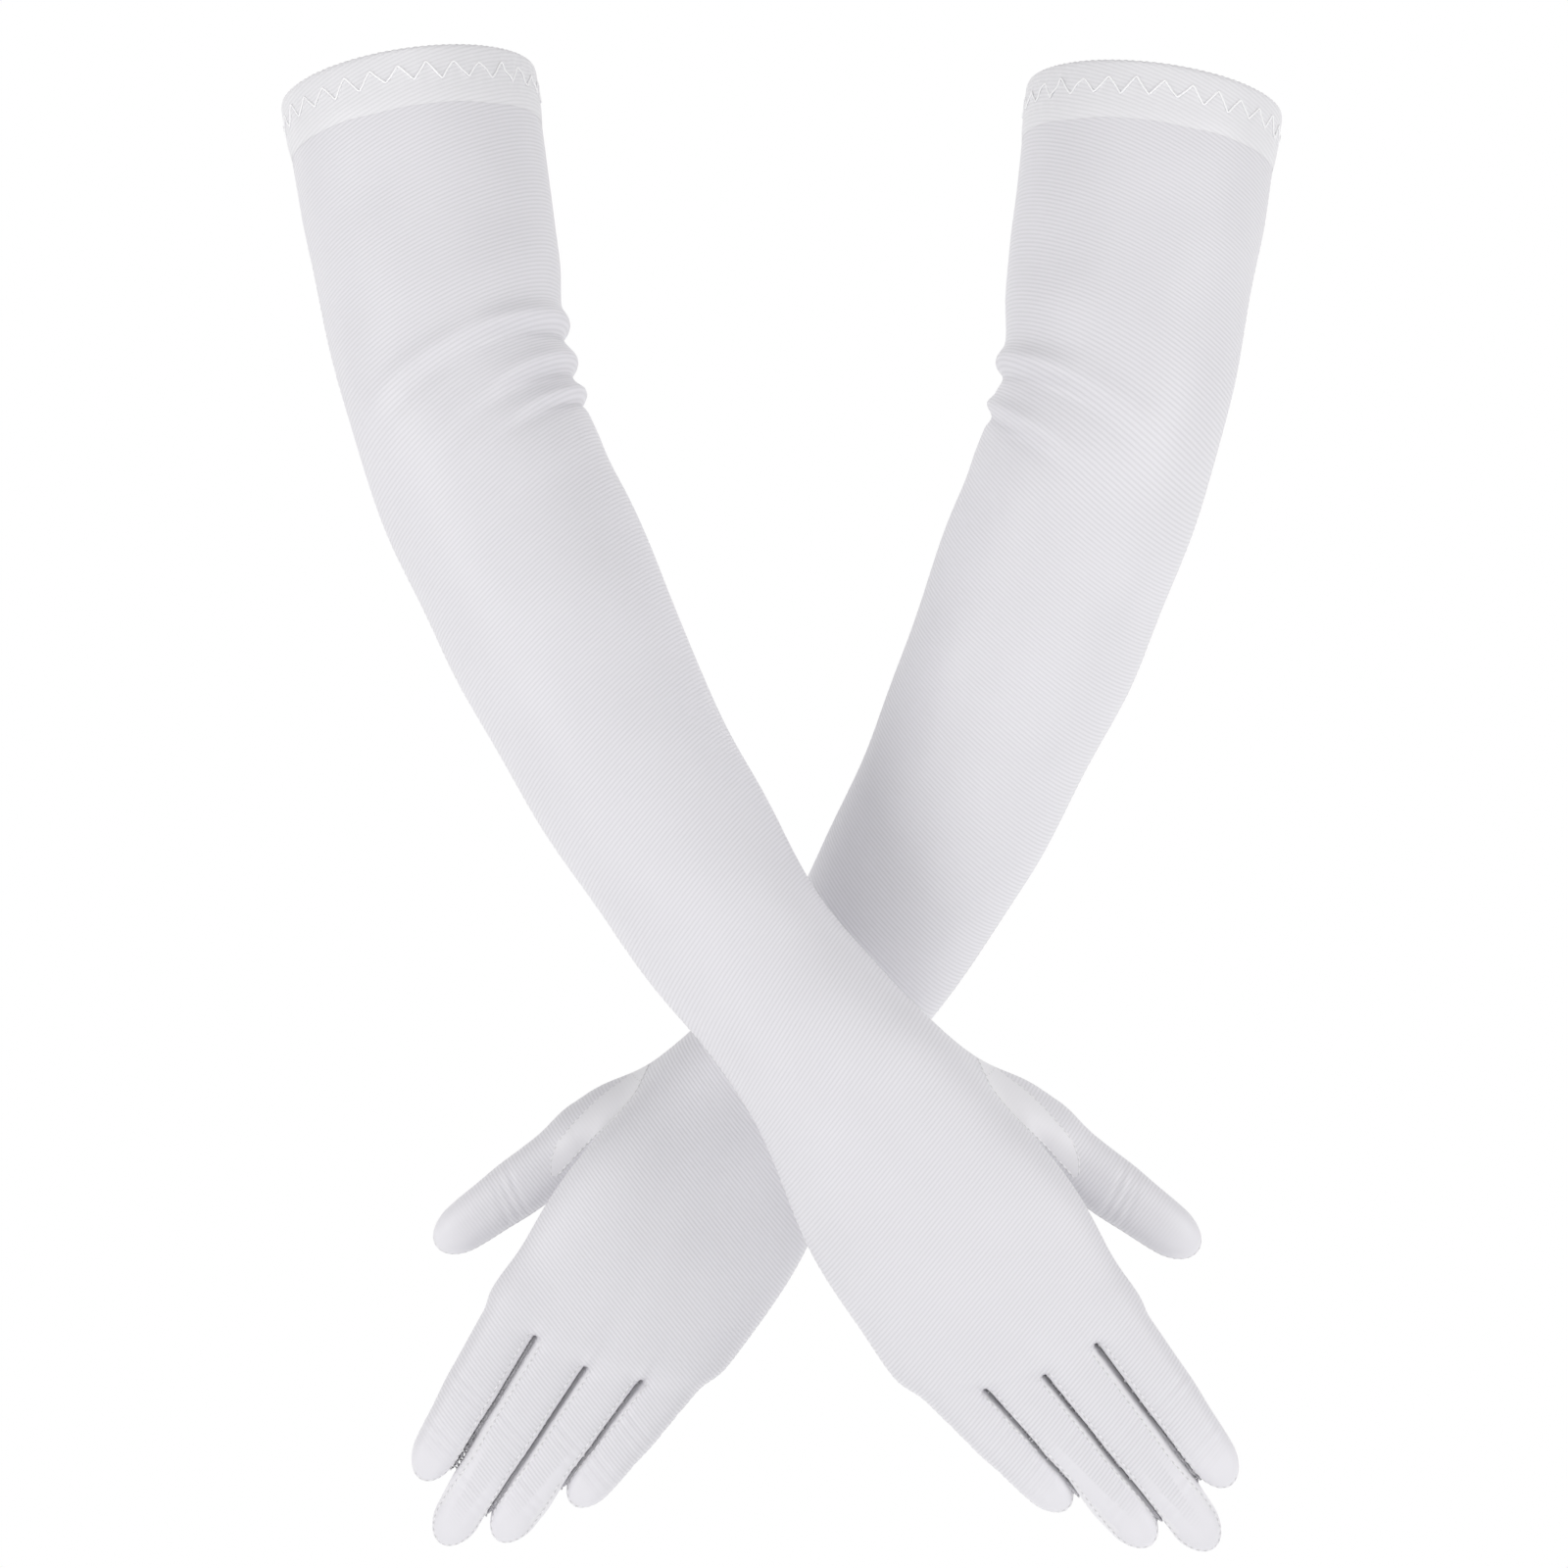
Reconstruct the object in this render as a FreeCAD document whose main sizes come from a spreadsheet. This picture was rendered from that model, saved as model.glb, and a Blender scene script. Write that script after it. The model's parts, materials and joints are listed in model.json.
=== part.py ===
"""Pair of opera gloves in their worn shape, crossed at the wrists, fingers down.

Millimetres and degrees. +Z is up, the backs of both hands face -Y, and the origin is the
centre of the left glove's arm opening. Each glove is a chain of hollow cloth lengths that
meet at the lines where the glove flexes: elbow, wrist, and the joints of each finger.
"""
import FreeCAD, Part
import math
import os
from FreeCAD import Placement, Rotation, Vector

doc = FreeCAD.newDocument("OperaGloves")
sheet = doc.addObject("Spreadsheet::Sheet", "Sizes")

FINGERS = ("index", "middle", "ring", "little")

# alias, value, meaning
SIZES = [
    ("fabric", 1.0, "thickness of a single cloth wall"),
    ("seam_lift", 0.8, "thickness of a strip sewn onto a wall"),
    ("clearance", 0.1, "air between two layers of one body"),
    ("flex_gap", 0.6, "air between two lengths at a flex line"),
    ("fold_lift", 0.5, "how far the gathered cloth in the crook stands out"),
    ("reach", 600, "side of the blocks that trim a length at a flex line"),
    ("opening_radius", 40.5, "outside of the sleeve at the arm opening"),
    ("hem_height", 16, "height of the turned hem"),
    ("elbow_radius", 36.5, "outside of the sleeve at the elbow"),
    ("upper_length", 107, "arm opening to elbow"),
    ("upper_middle", 58, "arm opening to where the upper sleeve's cone is half way"),
    ("forearm_length", 237, "elbow to wrist"),
    ("forearm_bow", 11, "sideways bow of the forearm's centre line"),
    ("high_along", 52, "elbow to the forearm's fullest place"),
    ("high_radius", 36.8, "forearm at its fullest place"),
    ("high_bow", 5.5, "bow at the fullest place"),
    ("mid_along", 137, "elbow to the middle of the bow"),
    ("mid_width", 65, "forearm at the middle of the bow, side to side"),
    ("mid_depth", 63, "forearm at the middle of the bow, back to palm"),
    ("low_along", 199, "elbow to the forearm's narrowest place"),
    ("low_width", 57.5, "forearm at its narrowest place, side to side"),
    ("low_depth", 50, "forearm at its narrowest place, back to palm"),
    ("low_bow", 7.9, "bow at the narrowest place"),
    ("wrist_width", 62, "glove at the wrist, side to side"),
    ("wrist_depth", 44, "glove at the wrist, back to palm"),
    ("heel_width", 74, "glove at the heel of the hand"),
    ("heel_depth", 37, "glove at the heel of the hand"),
    ("palm_width", 81, "glove across the palm"),
    ("palm_depth", 30, "glove through the palm"),
    ("knuckle_width", 78, "glove across the knuckles"),
    ("knuckle_depth", 23, "glove through the knuckles"),
    ("heel_along", 34, "wrist to heel"),
    ("palm_along", 75, "wrist to the widest place of the palm"),
    ("knuckle_along", 120, "wrist to where the hand's tube runs out"),
    ("heel_shift", -1.5, "middle of the heel from the hand's middle line, thumb side positive"),
    ("palm_shift", 1, "middle of the palm from the hand's middle line"),
    ("knuckle_shift", 1.5, "middle of the knuckles from the hand's middle line"),
    ("overlap", 2, "how far a length's shape runs on past a joint before it is trimmed"),
    ("knuckle_slope", 17.5, "lean of the knuckle line towards the little finger"),
    ("finger_taper", 0.76, "fingertip width over finger root width"),
    ("finger_flatness", 0.86, "depth of a finger over its width"),
    ("base_share", 0.46, "first length of a finger over the whole"),
    ("middle_share", 0.29, "second length of a finger over the whole"),
    ("panel_setback", 1.5, "palm panel and hand seam, further back from the finger roots"),
    ("back_setback", 3.5, "back panel's edge back from the finger roots"),
    ("strip_height", 8, "height of a fourchette strip, back to palm"),
    ("seam_width", 3, "width of the long closing seam"),
    ("index_along", 118, "wrist to index root"),
    ("index_across", 30.4, "index root from the hand's middle line, thumb side positive"),
    ("index_spread", -3.2, "index direction from the hand's, thumb side positive"),
    ("index_length", 61, "index root to tip"),
    ("index_width", 17.4, "index at its root, without fourchette"),
    ("middle_along", 112, "wrist to middle finger root"),
    ("middle_across", 10.4, "middle finger root from the hand's middle line"),
    ("middle_spread", -0.8, "middle finger direction from the hand's"),
    ("middle_length", 81, "middle finger root to tip"),
    ("middle_width", 15.6, "middle finger at its root, without fourchettes"),
    ("ring_along", 108.5, "wrist to ring finger root"),
    ("ring_across", -8.0, "ring finger root from the hand's middle line"),
    ("ring_spread", 1.8, "ring finger direction from the hand's"),
    ("ring_length", 73.5, "ring finger root to tip"),
    ("ring_width", 14.6, "ring finger at its root, without fourchettes"),
    ("little_along", 100, "wrist to little finger root"),
    ("little_across", -26.6, "little finger root from the hand's middle line"),
    ("little_spread", 6, "little finger direction from the hand's"),
    ("little_length", 59, "little finger root to tip"),
    ("little_width", 14.6, "little finger at its root, without fourchette"),
    ("thumb_along", 53, "wrist to thumb root"),
    ("thumb_across", 40, "thumb root from the hand's middle line"),
    ("thumb_behind", 21, "thumb root behind the hand's middle plane"),
    ("thumb_spread", 21, "thumb direction from the hand's"),
    ("thumb_lean", 6, "thumb direction away from the back of the hand"),
    ("thumb_length", 67, "thumb root to tip"),
    ("thumb_width", 20, "thumb at its root"),
    ("thumb_share", 0.52, "first length of the thumb over the whole"),
    ("elbow_flex", 80, "elbow, further bend from rest"),
    ("elbow_extend", 15, "elbow, straightening from rest"),
    ("wrist_flex", 45, "wrist towards the palm"),
    ("wrist_extend", 35, "wrist towards the back"),
    ("root_flex", 75, "finger root towards the palm"),
    ("root_extend", 12, "finger root towards the back"),
    ("knuckle_flex", 90, "middle joint of a finger towards the palm"),
    ("knuckle_extend", 4, "middle joint of a finger towards the back"),
    ("tip_ratio", 0.67, "end joint's turn over the middle joint's"),
    ("thumb_root_flex", 45, "thumb root towards the palm"),
    ("thumb_root_extend", 10, "thumb root towards the back"),
    ("thumb_tip_flex", 65, "thumb end joint towards the palm"),
    ("thumb_tip_extend", 10, "thumb end joint towards the back"),
    ("stitch_pitch", 9, "length of one zigzag of the hem thread"),
    ("stitch_height", 5.5, "height of the zigzag"),
    ("stitch_drop", 4.5, "top of the zigzag below the arm opening"),
    ("stitch_share", 0.8, "length of a stitch over the distance between its corners"),
    ("thread_radius", 0.35, "hem thread"),
    ("thread_lift", 0.63, "air between the sleeve and the hem thread"),
    ("right_opening_x", -239, "right arm opening from the left one"),
    ("right_opening_z", 4, "right arm opening above the left one"),
]
for row, (alias, value, meaning) in enumerate(SIZES, start=1):
    sheet.set(f"A{row}", alias)
    sheet.set(f"B{row}", str(value))
    sheet.set(f"C{row}", meaning)
    sheet.setAlias(f"B{row}", alias)
doc.recompute()

UP = Vector(0, 0, 1)
BACK_TO_PALM = Vector(0, 1, 0)
SPAN_AXIS = Vector(1, 0, 0)

# How each glove is held. side is +1 where the thumb points to +X. A tilt swings the
# fingertips towards +X, and a lean swings them towards +Y. finger_turn adds to each spread.
POSES = {
    "right": {"side": 1, "upper": (10, -9), "forearm": (30, -5), "hand": (32.5, 0),
              "finger_turn": 6},
    "left": {"side": -1, "upper": (-8.5, -8), "forearm": (-26.5, 13), "hand": (-33, 0),
             "finger_turn": 0},
}

# How round a fingertip is: share of the way to its end, width there over the finger's.
TIP_ROUNDING = ((0, 1), (0.45, 0.97), (0.78, 0.8), (0.95, 0.58), (1.0, 0.36))

parts = []


def size(alias):
    return float(sheet.get(alias))


def cell(alias):
    return f"Sizes.{alias}"


def placement(point, tilt, lean):
    """A frame whose -Z runs towards the fingertips and whose +Y runs from back to palm."""
    turn = Rotation(BACK_TO_PALM, -tilt).multiply(Rotation(SPAN_AXIS, lean))
    return Placement(point, turn)


def down(frame, along, across=0, behind=0):
    """The point a distance towards the fingertips along a frame."""
    return frame.multVec(Vector(across, behind, -along))


def halves(place):
    """Half the width and half the depth at a named place."""
    return f"{cell(place + '_width')} / 2", f"{cell(place + '_depth')} / 2"


def ellipse(name, half_width, half_depth, frame, along, across=0, half_turn=False):
    """An oval across a frame. Its closing point is on the +X side, or -X after a half turn."""
    outline = doc.addObject("Part::Ellipse", name)
    outline.setExpression("MajorRadius", half_width)
    outline.setExpression("MinorRadius", half_depth)
    turn = frame.Rotation
    if half_turn:
        turn = turn.multiply(Rotation(UP, 180))
    outline.Placement = Placement(down(frame, along, across), turn)
    return outline


def cylinder(name, radius, height, frame, along):
    """A cylinder that starts at a point down the frame and rises towards the opening."""
    rod = doc.addObject("Part::Cylinder", name)
    rod.setExpression("Radius", radius)
    rod.setExpression("Height", height)
    rod.Placement = Placement(down(frame, along), frame.Rotation)
    return rod


def sphere(name, radius, centre):
    ball = doc.addObject("Part::Sphere", name)
    ball.setExpression("Radius", radius)
    ball.Placement = Placement(centre, Rotation())
    return ball


def loft(name, outlines):
    solid = doc.addObject("Part::Loft", name)
    solid.Sections = outlines
    solid.Solid = True
    solid.Ruled = False
    return solid


def cut(name, base, tool):
    result = doc.addObject("Part::Cut", name)
    result.Base = base
    result.Tool = tool
    return result


def fuse(name, first, second):
    joined = doc.addObject("Part::Fuse", name)
    joined.Base = first
    joined.Tool = second
    return joined


def body_of(name, frame, stations, grow="0", half_turn=False):
    """A solid through oval stations: (along, across, half width, half depth) each."""
    outlines = []
    for count, (along, across, half_width, half_depth) in enumerate(stations):
        outlines.append(ellipse(f"{name}_{count}", f"{half_width} + {grow}",
                                f"{half_depth} + {grow}", frame, along, across, half_turn))
    return loft(name, outlines)


def tube(name, frame, stations, hollow_stations=None):
    """A cloth wall of even thickness, open at both ends unless the hollow stops short."""
    outside = body_of(f"{name}_outside", frame, stations)
    inside = body_of(f"{name}_inside", frame, hollow_stations or stations, f"-{cell('fabric')}")
    return cut(f"{name}_wall", outside, inside)


def layer(name, frame, stations, half_turn):
    """A thin layer that lies on the outside of a tube with the same stations."""
    grow = f"({cell('clearance')} + {cell('seam_lift')})"
    outside = body_of(f"{name}_outside", frame, stations, grow, half_turn)
    inside = body_of(f"{name}_inside", frame, stations, cell("clearance"), half_turn)
    return cut(f"{name}_layer", outside, inside)


def block(name, length, width, height, place):
    box = doc.addObject("Part::Box", name)
    box.setExpression("Length", length)
    box.setExpression("Width", width)
    box.setExpression("Height", height)
    box.Placement = place
    return box


def half_space(name, pivot, normal, setback):
    """A block that fills the side of a plane its normal points to."""
    reach = size("reach")
    turn = Rotation(UP, normal)
    corner = turn.multVec(Vector(-reach / 2, -reach / 2, setback))
    return block(name, cell("reach"), cell("reach"), cell("reach"), Placement(pivot + corner, turn))


def flex_planes(name, pivot, towards, axis, flex, extend):
    """The two blocks that leave a length free to turn: half the bend comes off each side.

    flex and extend are signed by the caller: + on the fixed length, - on the moving one.
    """
    setback = size("flex_gap") / 2
    planes = []
    for side, angle in (("flex", flex / 2), ("extend", -extend / 2)):
        normal = Rotation(axis, angle).multVec(towards)
        planes.append(half_space(f"{name}_{side}", pivot, normal, setback))
    return planes


def common(name, shapes):
    """What all the shapes share, as one finished piece."""
    result = shapes[0]
    for count, other in enumerate(shapes[1:]):
        step = doc.addObject("Part::Common", f"{name}_common_{count}")
        step.Base = result
        step.Tool = other
        result = step
    return result


def side_strip(name, frame, stations, side, height):
    """A narrow strip on the outside of a tube, on its +X side (+1), -X side (-1) or both (0)."""
    if side == 0:
        return fuse(f"{name}_pair", side_strip(f"{name}_near", frame, stations, 1, height),
                    side_strip(f"{name}_far", frame, stations, -1, height))
    sheath = layer(name, frame, stations, side > 0)
    reach = size("reach")
    start = 0 if side > 0 else -reach
    corner = frame.multVec(Vector(start, -size(height) / 2, -reach / 2))
    slab = block(f"{name}_slab", cell("reach"), cell(height), cell("reach"),
                 Placement(corner, frame.Rotation))
    return common(f"{name}_strip", [sheath, slab])


def finish(label, piece):
    piece.Label = label
    parts.append(piece)


def upper_sleeve(glove, frame, elbow, reference, axis):
    """Straight turned-hem part, then a cone down to the elbow."""
    name = f"{glove}_upper"
    opening = cell("opening_radius")
    elbow_radius = cell("elbow_radius")
    middle = f"({opening} + {elbow_radius}) / 2"
    stations = [
        (size("hem_height"), 0, opening, opening),
        (size("upper_middle"), 0, middle, middle),
        (size("upper_length") + size("elbow_radius") / 2, 0, elbow_radius, elbow_radius),
    ]
    cuff = cylinder(f"{name}_cuff", opening, cell("hem_height"), frame, size("hem_height"))
    cuff_hole = cylinder(f"{name}_cuff_hole", f"{opening} - {cell('fabric')}", cell("hem_height"),
                         frame, size("hem_height"))
    outside = fuse(f"{name}_whole", cuff, body_of(f"{name}_outside", frame, stations))
    hole = fuse(f"{name}_hollow", cuff_hole,
                body_of(f"{name}_inside", frame, stations, f"-{cell('fabric')}"))
    wall = cut(f"{name}_wall", outside, hole)
    planes = flex_planes(name, elbow, reference, axis, -size("elbow_flex"), -size("elbow_extend"))
    finish(f"{glove}_upper_sleeve", common(name, [wall] + planes))
    seam_side = -POSES[glove]["side"]
    strip = side_strip(f"{name}_seam", frame, stations, seam_side, "seam_width")
    finish(f"{glove}_upper_seam", common(f"{name}_seam_trim", [strip] + planes))


def hem_band(glove, frame):
    """The allowance turned inside the arm opening: a plain ring against the sleeve."""
    name = f"{glove}_hem"
    outer = f"{cell('opening_radius')} - {cell('fabric')} - {cell('clearance')}"
    ring = cylinder(f"{name}_outside", outer, cell("hem_height"), frame, size("hem_height"))
    hole = cylinder(f"{name}_hole", f"{outer} - {cell('fabric')}", cell("hem_height"),
                    frame, size("hem_height"))
    finish(f"{glove}_hem_band", cut(name, ring, hole))


def hem_thread(glove, frame):
    """Zigzag stitches around the outside of the hem, each a short straight length of thread."""
    radius = size("opening_radius") + size("thread_lift") + size("thread_radius")
    zigzags = round(2 * math.pi * radius / size("stitch_pitch"))
    high = size("stitch_drop")
    low = high + size("stitch_height")
    share = size("stitch_share")
    stitches = []
    for count in range(2 * zigzags):
        ends = []
        for corner in (count, count + 1):
            angle = math.pi * corner / zigzags
            along = high if corner % 2 else low
            ends.append(Vector(radius * math.cos(angle), radius * math.sin(angle), -along))
        stretch = ends[1] - ends[0]
        trim = stretch * ((1 - share) / 2)
        stitches.append(Part.makeCylinder(size("thread_radius"), stretch.Length * share,
                                          ends[0] + trim, stretch))
    thread = doc.addObject("Part::Feature", f"{glove}_thread")
    thread.Shape = Part.makeCompound(stitches)
    thread.Placement = frame
    finish(f"{glove}_hem_thread", thread)


def elbow_folds(glove, elbow, reference, axis):
    """Gathered cloth in the crook of the elbow: the part of a hollow ball between the sleeves."""
    name = f"{glove}_folds"
    outside = f"{cell('elbow_radius')} + {cell('fold_lift')}"
    ball = sphere(f"{name}_ball", outside, elbow)
    hole = sphere(f"{name}_hole", f"{outside} - {cell('fabric')}", elbow)
    setback = size("flex_gap") / 2
    half_angle = size("elbow_flex") / 2
    slices = []
    for end, angle in ((1, -half_angle), (-1, half_angle)):
        normal = Rotation(axis, angle).multVec(reference * end)
        slices.append(half_space(f"{name}_{'upper' if end > 0 else 'lower'}", elbow,
                                 normal * -1, setback))
    crook = Rotation(axis, 90).multVec(reference)
    slices.append(half_space(f"{name}_crook", elbow, crook, 2 * setback))
    finish(f"{glove}_elbow_folds", common(name, [cut(f"{name}_shell", ball, hole)] + slices))


def forearm_sleeve(glove, frame, elbow, reference, axis, wrist, hand_frame):
    """A bowed tube that narrows to the wrist."""
    name = f"{glove}_forearm"
    side = POSES[glove]["side"]
    start = -size("elbow_radius") / 2
    stations = [
        (start, 0, cell("elbow_radius"), cell("elbow_radius")),
        (size("high_along"), -side * size("high_bow"), cell("high_radius"), cell("high_radius")),
        (size("mid_along"), -side * size("forearm_bow"), *halves("mid")),
        (size("low_along"), -side * size("low_bow"), *halves("low")),
        (size("forearm_length"), 0, *halves("wrist")),
    ]
    wall = tube(name, frame, stations)
    hand_axis = hand_frame.Rotation.multVec(SPAN_AXIS)
    towards_arm = hand_frame.Rotation.multVec(UP)
    planes = flex_planes(f"{name}_elbow", elbow, reference * -1, axis,
                         size("elbow_flex"), size("elbow_extend"))
    planes += flex_planes(f"{name}_wrist", wrist, towards_arm, hand_axis,
                          size("wrist_flex"), size("wrist_extend"))
    finish(f"{glove}_forearm_sleeve", common(name, [wall] + planes))
    strip = side_strip(f"{name}_seam", frame, stations, -side, "seam_width")
    finish(f"{glove}_forearm_seam", common(f"{name}_seam_trim", [strip] + planes))


def hand(glove, frame):
    """The hand's tube, slit into a back panel and a palm panel, and its closing seam."""
    name = f"{glove}_hand"
    side = POSES[glove]["side"]
    stations = [(-size("overlap"), 0, *halves("wrist"))]
    for place in ("heel", "palm", "knuckle"):
        stations.append((size(f"{place}_along"), side * size(f"{place}_shift"), *halves(place)))
    wall = tube(name, frame, stations)
    seam = side_strip(f"{name}_seam", frame, stations, -side, "seam_width")
    axis = frame.Rotation.multVec(SPAN_AXIS)
    towards_fingers = frame.Rotation.multVec(UP * -1)
    wrist_planes = flex_planes(f"{name}_wrist", frame.Base, towards_fingers, axis,
                               -size("wrist_flex"), -size("wrist_extend"))
    root = down(frame, size("index_along"), side * size("index_across"))
    facing = frame.Rotation.multVec(BACK_TO_PALM)
    half_index = size("index_width") / 2
    setback = size("panel_setback")
    panels = {
        "palm_panel": (wall, facing, half_index * size("finger_flatness") + setback),
        "back_panel": (wall, facing * -1, size("back_setback")),
        "hand_seam": (seam, None, half_index + setback),
    }
    for label, (shape, half, setback) in panels.items():
        knuckle_line = Rotation(facing, side * size("knuckle_slope")).multVec(towards_fingers * -1)
        planes = wrist_planes + [half_space(f"{name}_{label}_end", root, knuckle_line, setback)]
        if half:
            planes.append(half_space(f"{name}_{label}_half", frame.Base, half, size("clearance")))
        finish(f"{glove}_{label}", common(f"{name}_{label}", [shape] + planes))


def finger_stations(width, start, stop, length, flatness):
    """Ovals from one place to another along a finger that narrows to its tip."""
    taper = size("finger_taper")
    stations = []
    for along in (start, (start + stop) / 2, stop):
        share = 1 - (1 - taper) * along / length
        half = f"{width} / 2 * {share:.4f}"
        stations.append((along, 0, half, f"{half} * {flatness}"))
    return stations


def tip_stations(width, start, length, flatness, wall):
    """Ovals that close to a blunt end, wall short of the full length."""
    taper = size("finger_taper")
    stations = []
    for place, fullness in TIP_ROUNDING:
        along = start + (length - wall - start) * place
        share = (1 - (1 - taper) * along / length) * fullness
        half = f"{width} / 2 * {share:.4f}"
        stations.append((along, 0, half, f"{half} * {flatness}"))
    return stations


def finger(glove, digit, frame, length, width, ends, bends, strip_side):
    """The hollow lengths of one finger or thumb, each trimmed so that it can turn.

    ends are the distances from the root to each further joint, and bends the flex and
    extension at those joints.
    """
    flatness = size("finger_flatness")
    overlap = size("overlap")
    axis = frame.Rotation.multVec(SPAN_AXIS)
    outward = frame.Rotation.multVec(UP * -1)
    names = ("base", "middle", "tip") if len(ends) == 2 else ("base", "tip")
    starts = [0] + ends
    for count, length_name in enumerate(names):
        name = f"{glove}_{digit}_{length_name}"
        pivot = down(frame, starts[count])
        planes = []
        if count > 0:
            flex, extend = bends[count - 1]
            planes += flex_planes(f"{name}_near", pivot, outward, axis, -flex, -extend)
        if length_name == "tip":
            begin = starts[count] - overlap
            stations = tip_stations(width, begin, length, flatness, 0)
            hollow = tip_stations(width, begin, length, flatness, size("fabric"))
            wall = tube(name, frame, stations, hollow)
        else:
            flex, extend = bends[count]
            begin = starts[count] - (overlap if count else 0)
            stop = starts[count + 1] + overlap
            stations = finger_stations(width, begin, stop, length, flatness)
            wall = tube(name, frame, stations)
            planes += flex_planes(f"{name}_far", down(frame, starts[count + 1]), outward * -1,
                                  axis, flex, extend)
        finish(name, common(name, [wall] + planes))
        if length_name == "base" and strip_side is not None:
            strip = side_strip(f"{name}_strip", frame, stations, strip_side, "strip_height")
            end = half_space(f"{name}_strip_end", down(frame, starts[1]), outward * -1,
                             size("strip_height") / 2 + size("flex_gap"))
            finish(f"{glove}_{digit}_fourchette", common(f"{name}_strip_trim", [strip, end]))


def four_fingers(glove, hand_frame):
    pose = POSES[glove]
    side = pose["side"]
    tilt, lean = pose["hand"]
    strip_sides = {"index": -side, "middle": 0, "ring": 0, "little": side}
    for digit in FINGERS:
        root = down(hand_frame, size(f"{digit}_along"), side * size(f"{digit}_across"))
        turn = side * (size(f"{digit}_spread") + pose["finger_turn"])
        frame = placement(root, tilt + turn, lean)
        length = size(f"{digit}_length")
        first = size("base_share") * length
        second = first + size("middle_share") * length
        knuckle = (size("knuckle_flex"), size("knuckle_extend"))
        end_joint = tuple(size("tip_ratio") * angle for angle in knuckle)
        finger(glove, digit, frame, length, cell(f"{digit}_width"), [first, second],
               [knuckle, end_joint], strip_sides[digit])


def thumb(glove, hand_frame):
    pose = POSES[glove]
    side = pose["side"]
    tilt, lean = pose["hand"]
    root = down(hand_frame, size("thumb_along"), side * size("thumb_across"),
                size("thumb_behind"))
    frame = placement(root, tilt + side * size("thumb_spread"), lean + size("thumb_lean"))
    length = size("thumb_length")
    first = size("thumb_share") * length
    finger(glove, "thumb", frame, length, cell("thumb_width"), [first],
           [(size("thumb_tip_flex"), size("thumb_tip_extend"))], None)
    thumb_gusset(glove, frame)


def thumb_gusset(glove, frame):
    """The domed piece let in around the root of the thumb."""
    name = f"{glove}_gusset"
    inner = f"{cell('thumb_width')} / 2 + {cell('flex_gap')}"
    shell = cut(f"{name}_shell", sphere(f"{name}_ball", f"{inner} + {cell('fabric')}", frame.Base),
                sphere(f"{name}_hole", inner, frame.Base))
    axis = frame.Rotation.multVec(SPAN_AXIS)
    towards_arm = frame.Rotation.multVec(UP)
    planes = flex_planes(name, frame.Base, towards_arm, axis,
                         2 * size("thumb_root_flex"), 2 * size("thumb_root_extend"))
    finish(f"{glove}_thumb_gusset", common(name, [shell] + planes))


def glove(name, opening):
    """One glove, worked out from its arm opening down to its fingertips."""
    pose = POSES[name]
    side = pose["side"]
    upper = placement(opening, *pose["upper"])
    elbow = down(upper, size("upper_length"))
    forearm = placement(elbow, *pose["forearm"])
    wrist = down(forearm, size("forearm_length"))
    hand_frame = placement(wrist, *pose["hand"])
    elbow_axis = BACK_TO_PALM * side
    reference = upper.Rotation.multVec(UP) + forearm.Rotation.multVec(UP)
    reference.y = 0
    reference.normalize()
    hem_band(name, upper)
    hem_thread(name, upper)
    upper_sleeve(name, upper, elbow, reference, elbow_axis)
    elbow_folds(name, elbow, reference, elbow_axis)
    forearm_sleeve(name, forearm, elbow, reference, elbow_axis, wrist, hand_frame)
    hand(name, hand_frame)
    four_fingers(name, hand_frame)
    thumb(name, hand_frame)


glove("left", Vector(0, 0, 0))
glove("right", Vector(size("right_opening_x"), 0, size("right_opening_z")))
doc.recompute()

for item in doc.Objects:
    if {"Invalid", "Error"} & set(item.State):
        raise RuntimeError(f"{item.Label} did not build: {item.State}")
os.makedirs("parts", exist_ok=True)
for piece in parts:
    if piece.Shape.isNull() or not piece.Shape.isValid() or not piece.Shape.Solids:
        raise RuntimeError(f"{piece.Label} has no valid solid")
for piece in parts:
    piece.Shape.exportStep(f"parts/{piece.Label}.step")
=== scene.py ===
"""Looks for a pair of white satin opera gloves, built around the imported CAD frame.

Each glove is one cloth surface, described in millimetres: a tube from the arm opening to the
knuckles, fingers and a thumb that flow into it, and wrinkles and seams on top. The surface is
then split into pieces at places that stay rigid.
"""
import json
import math

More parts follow.
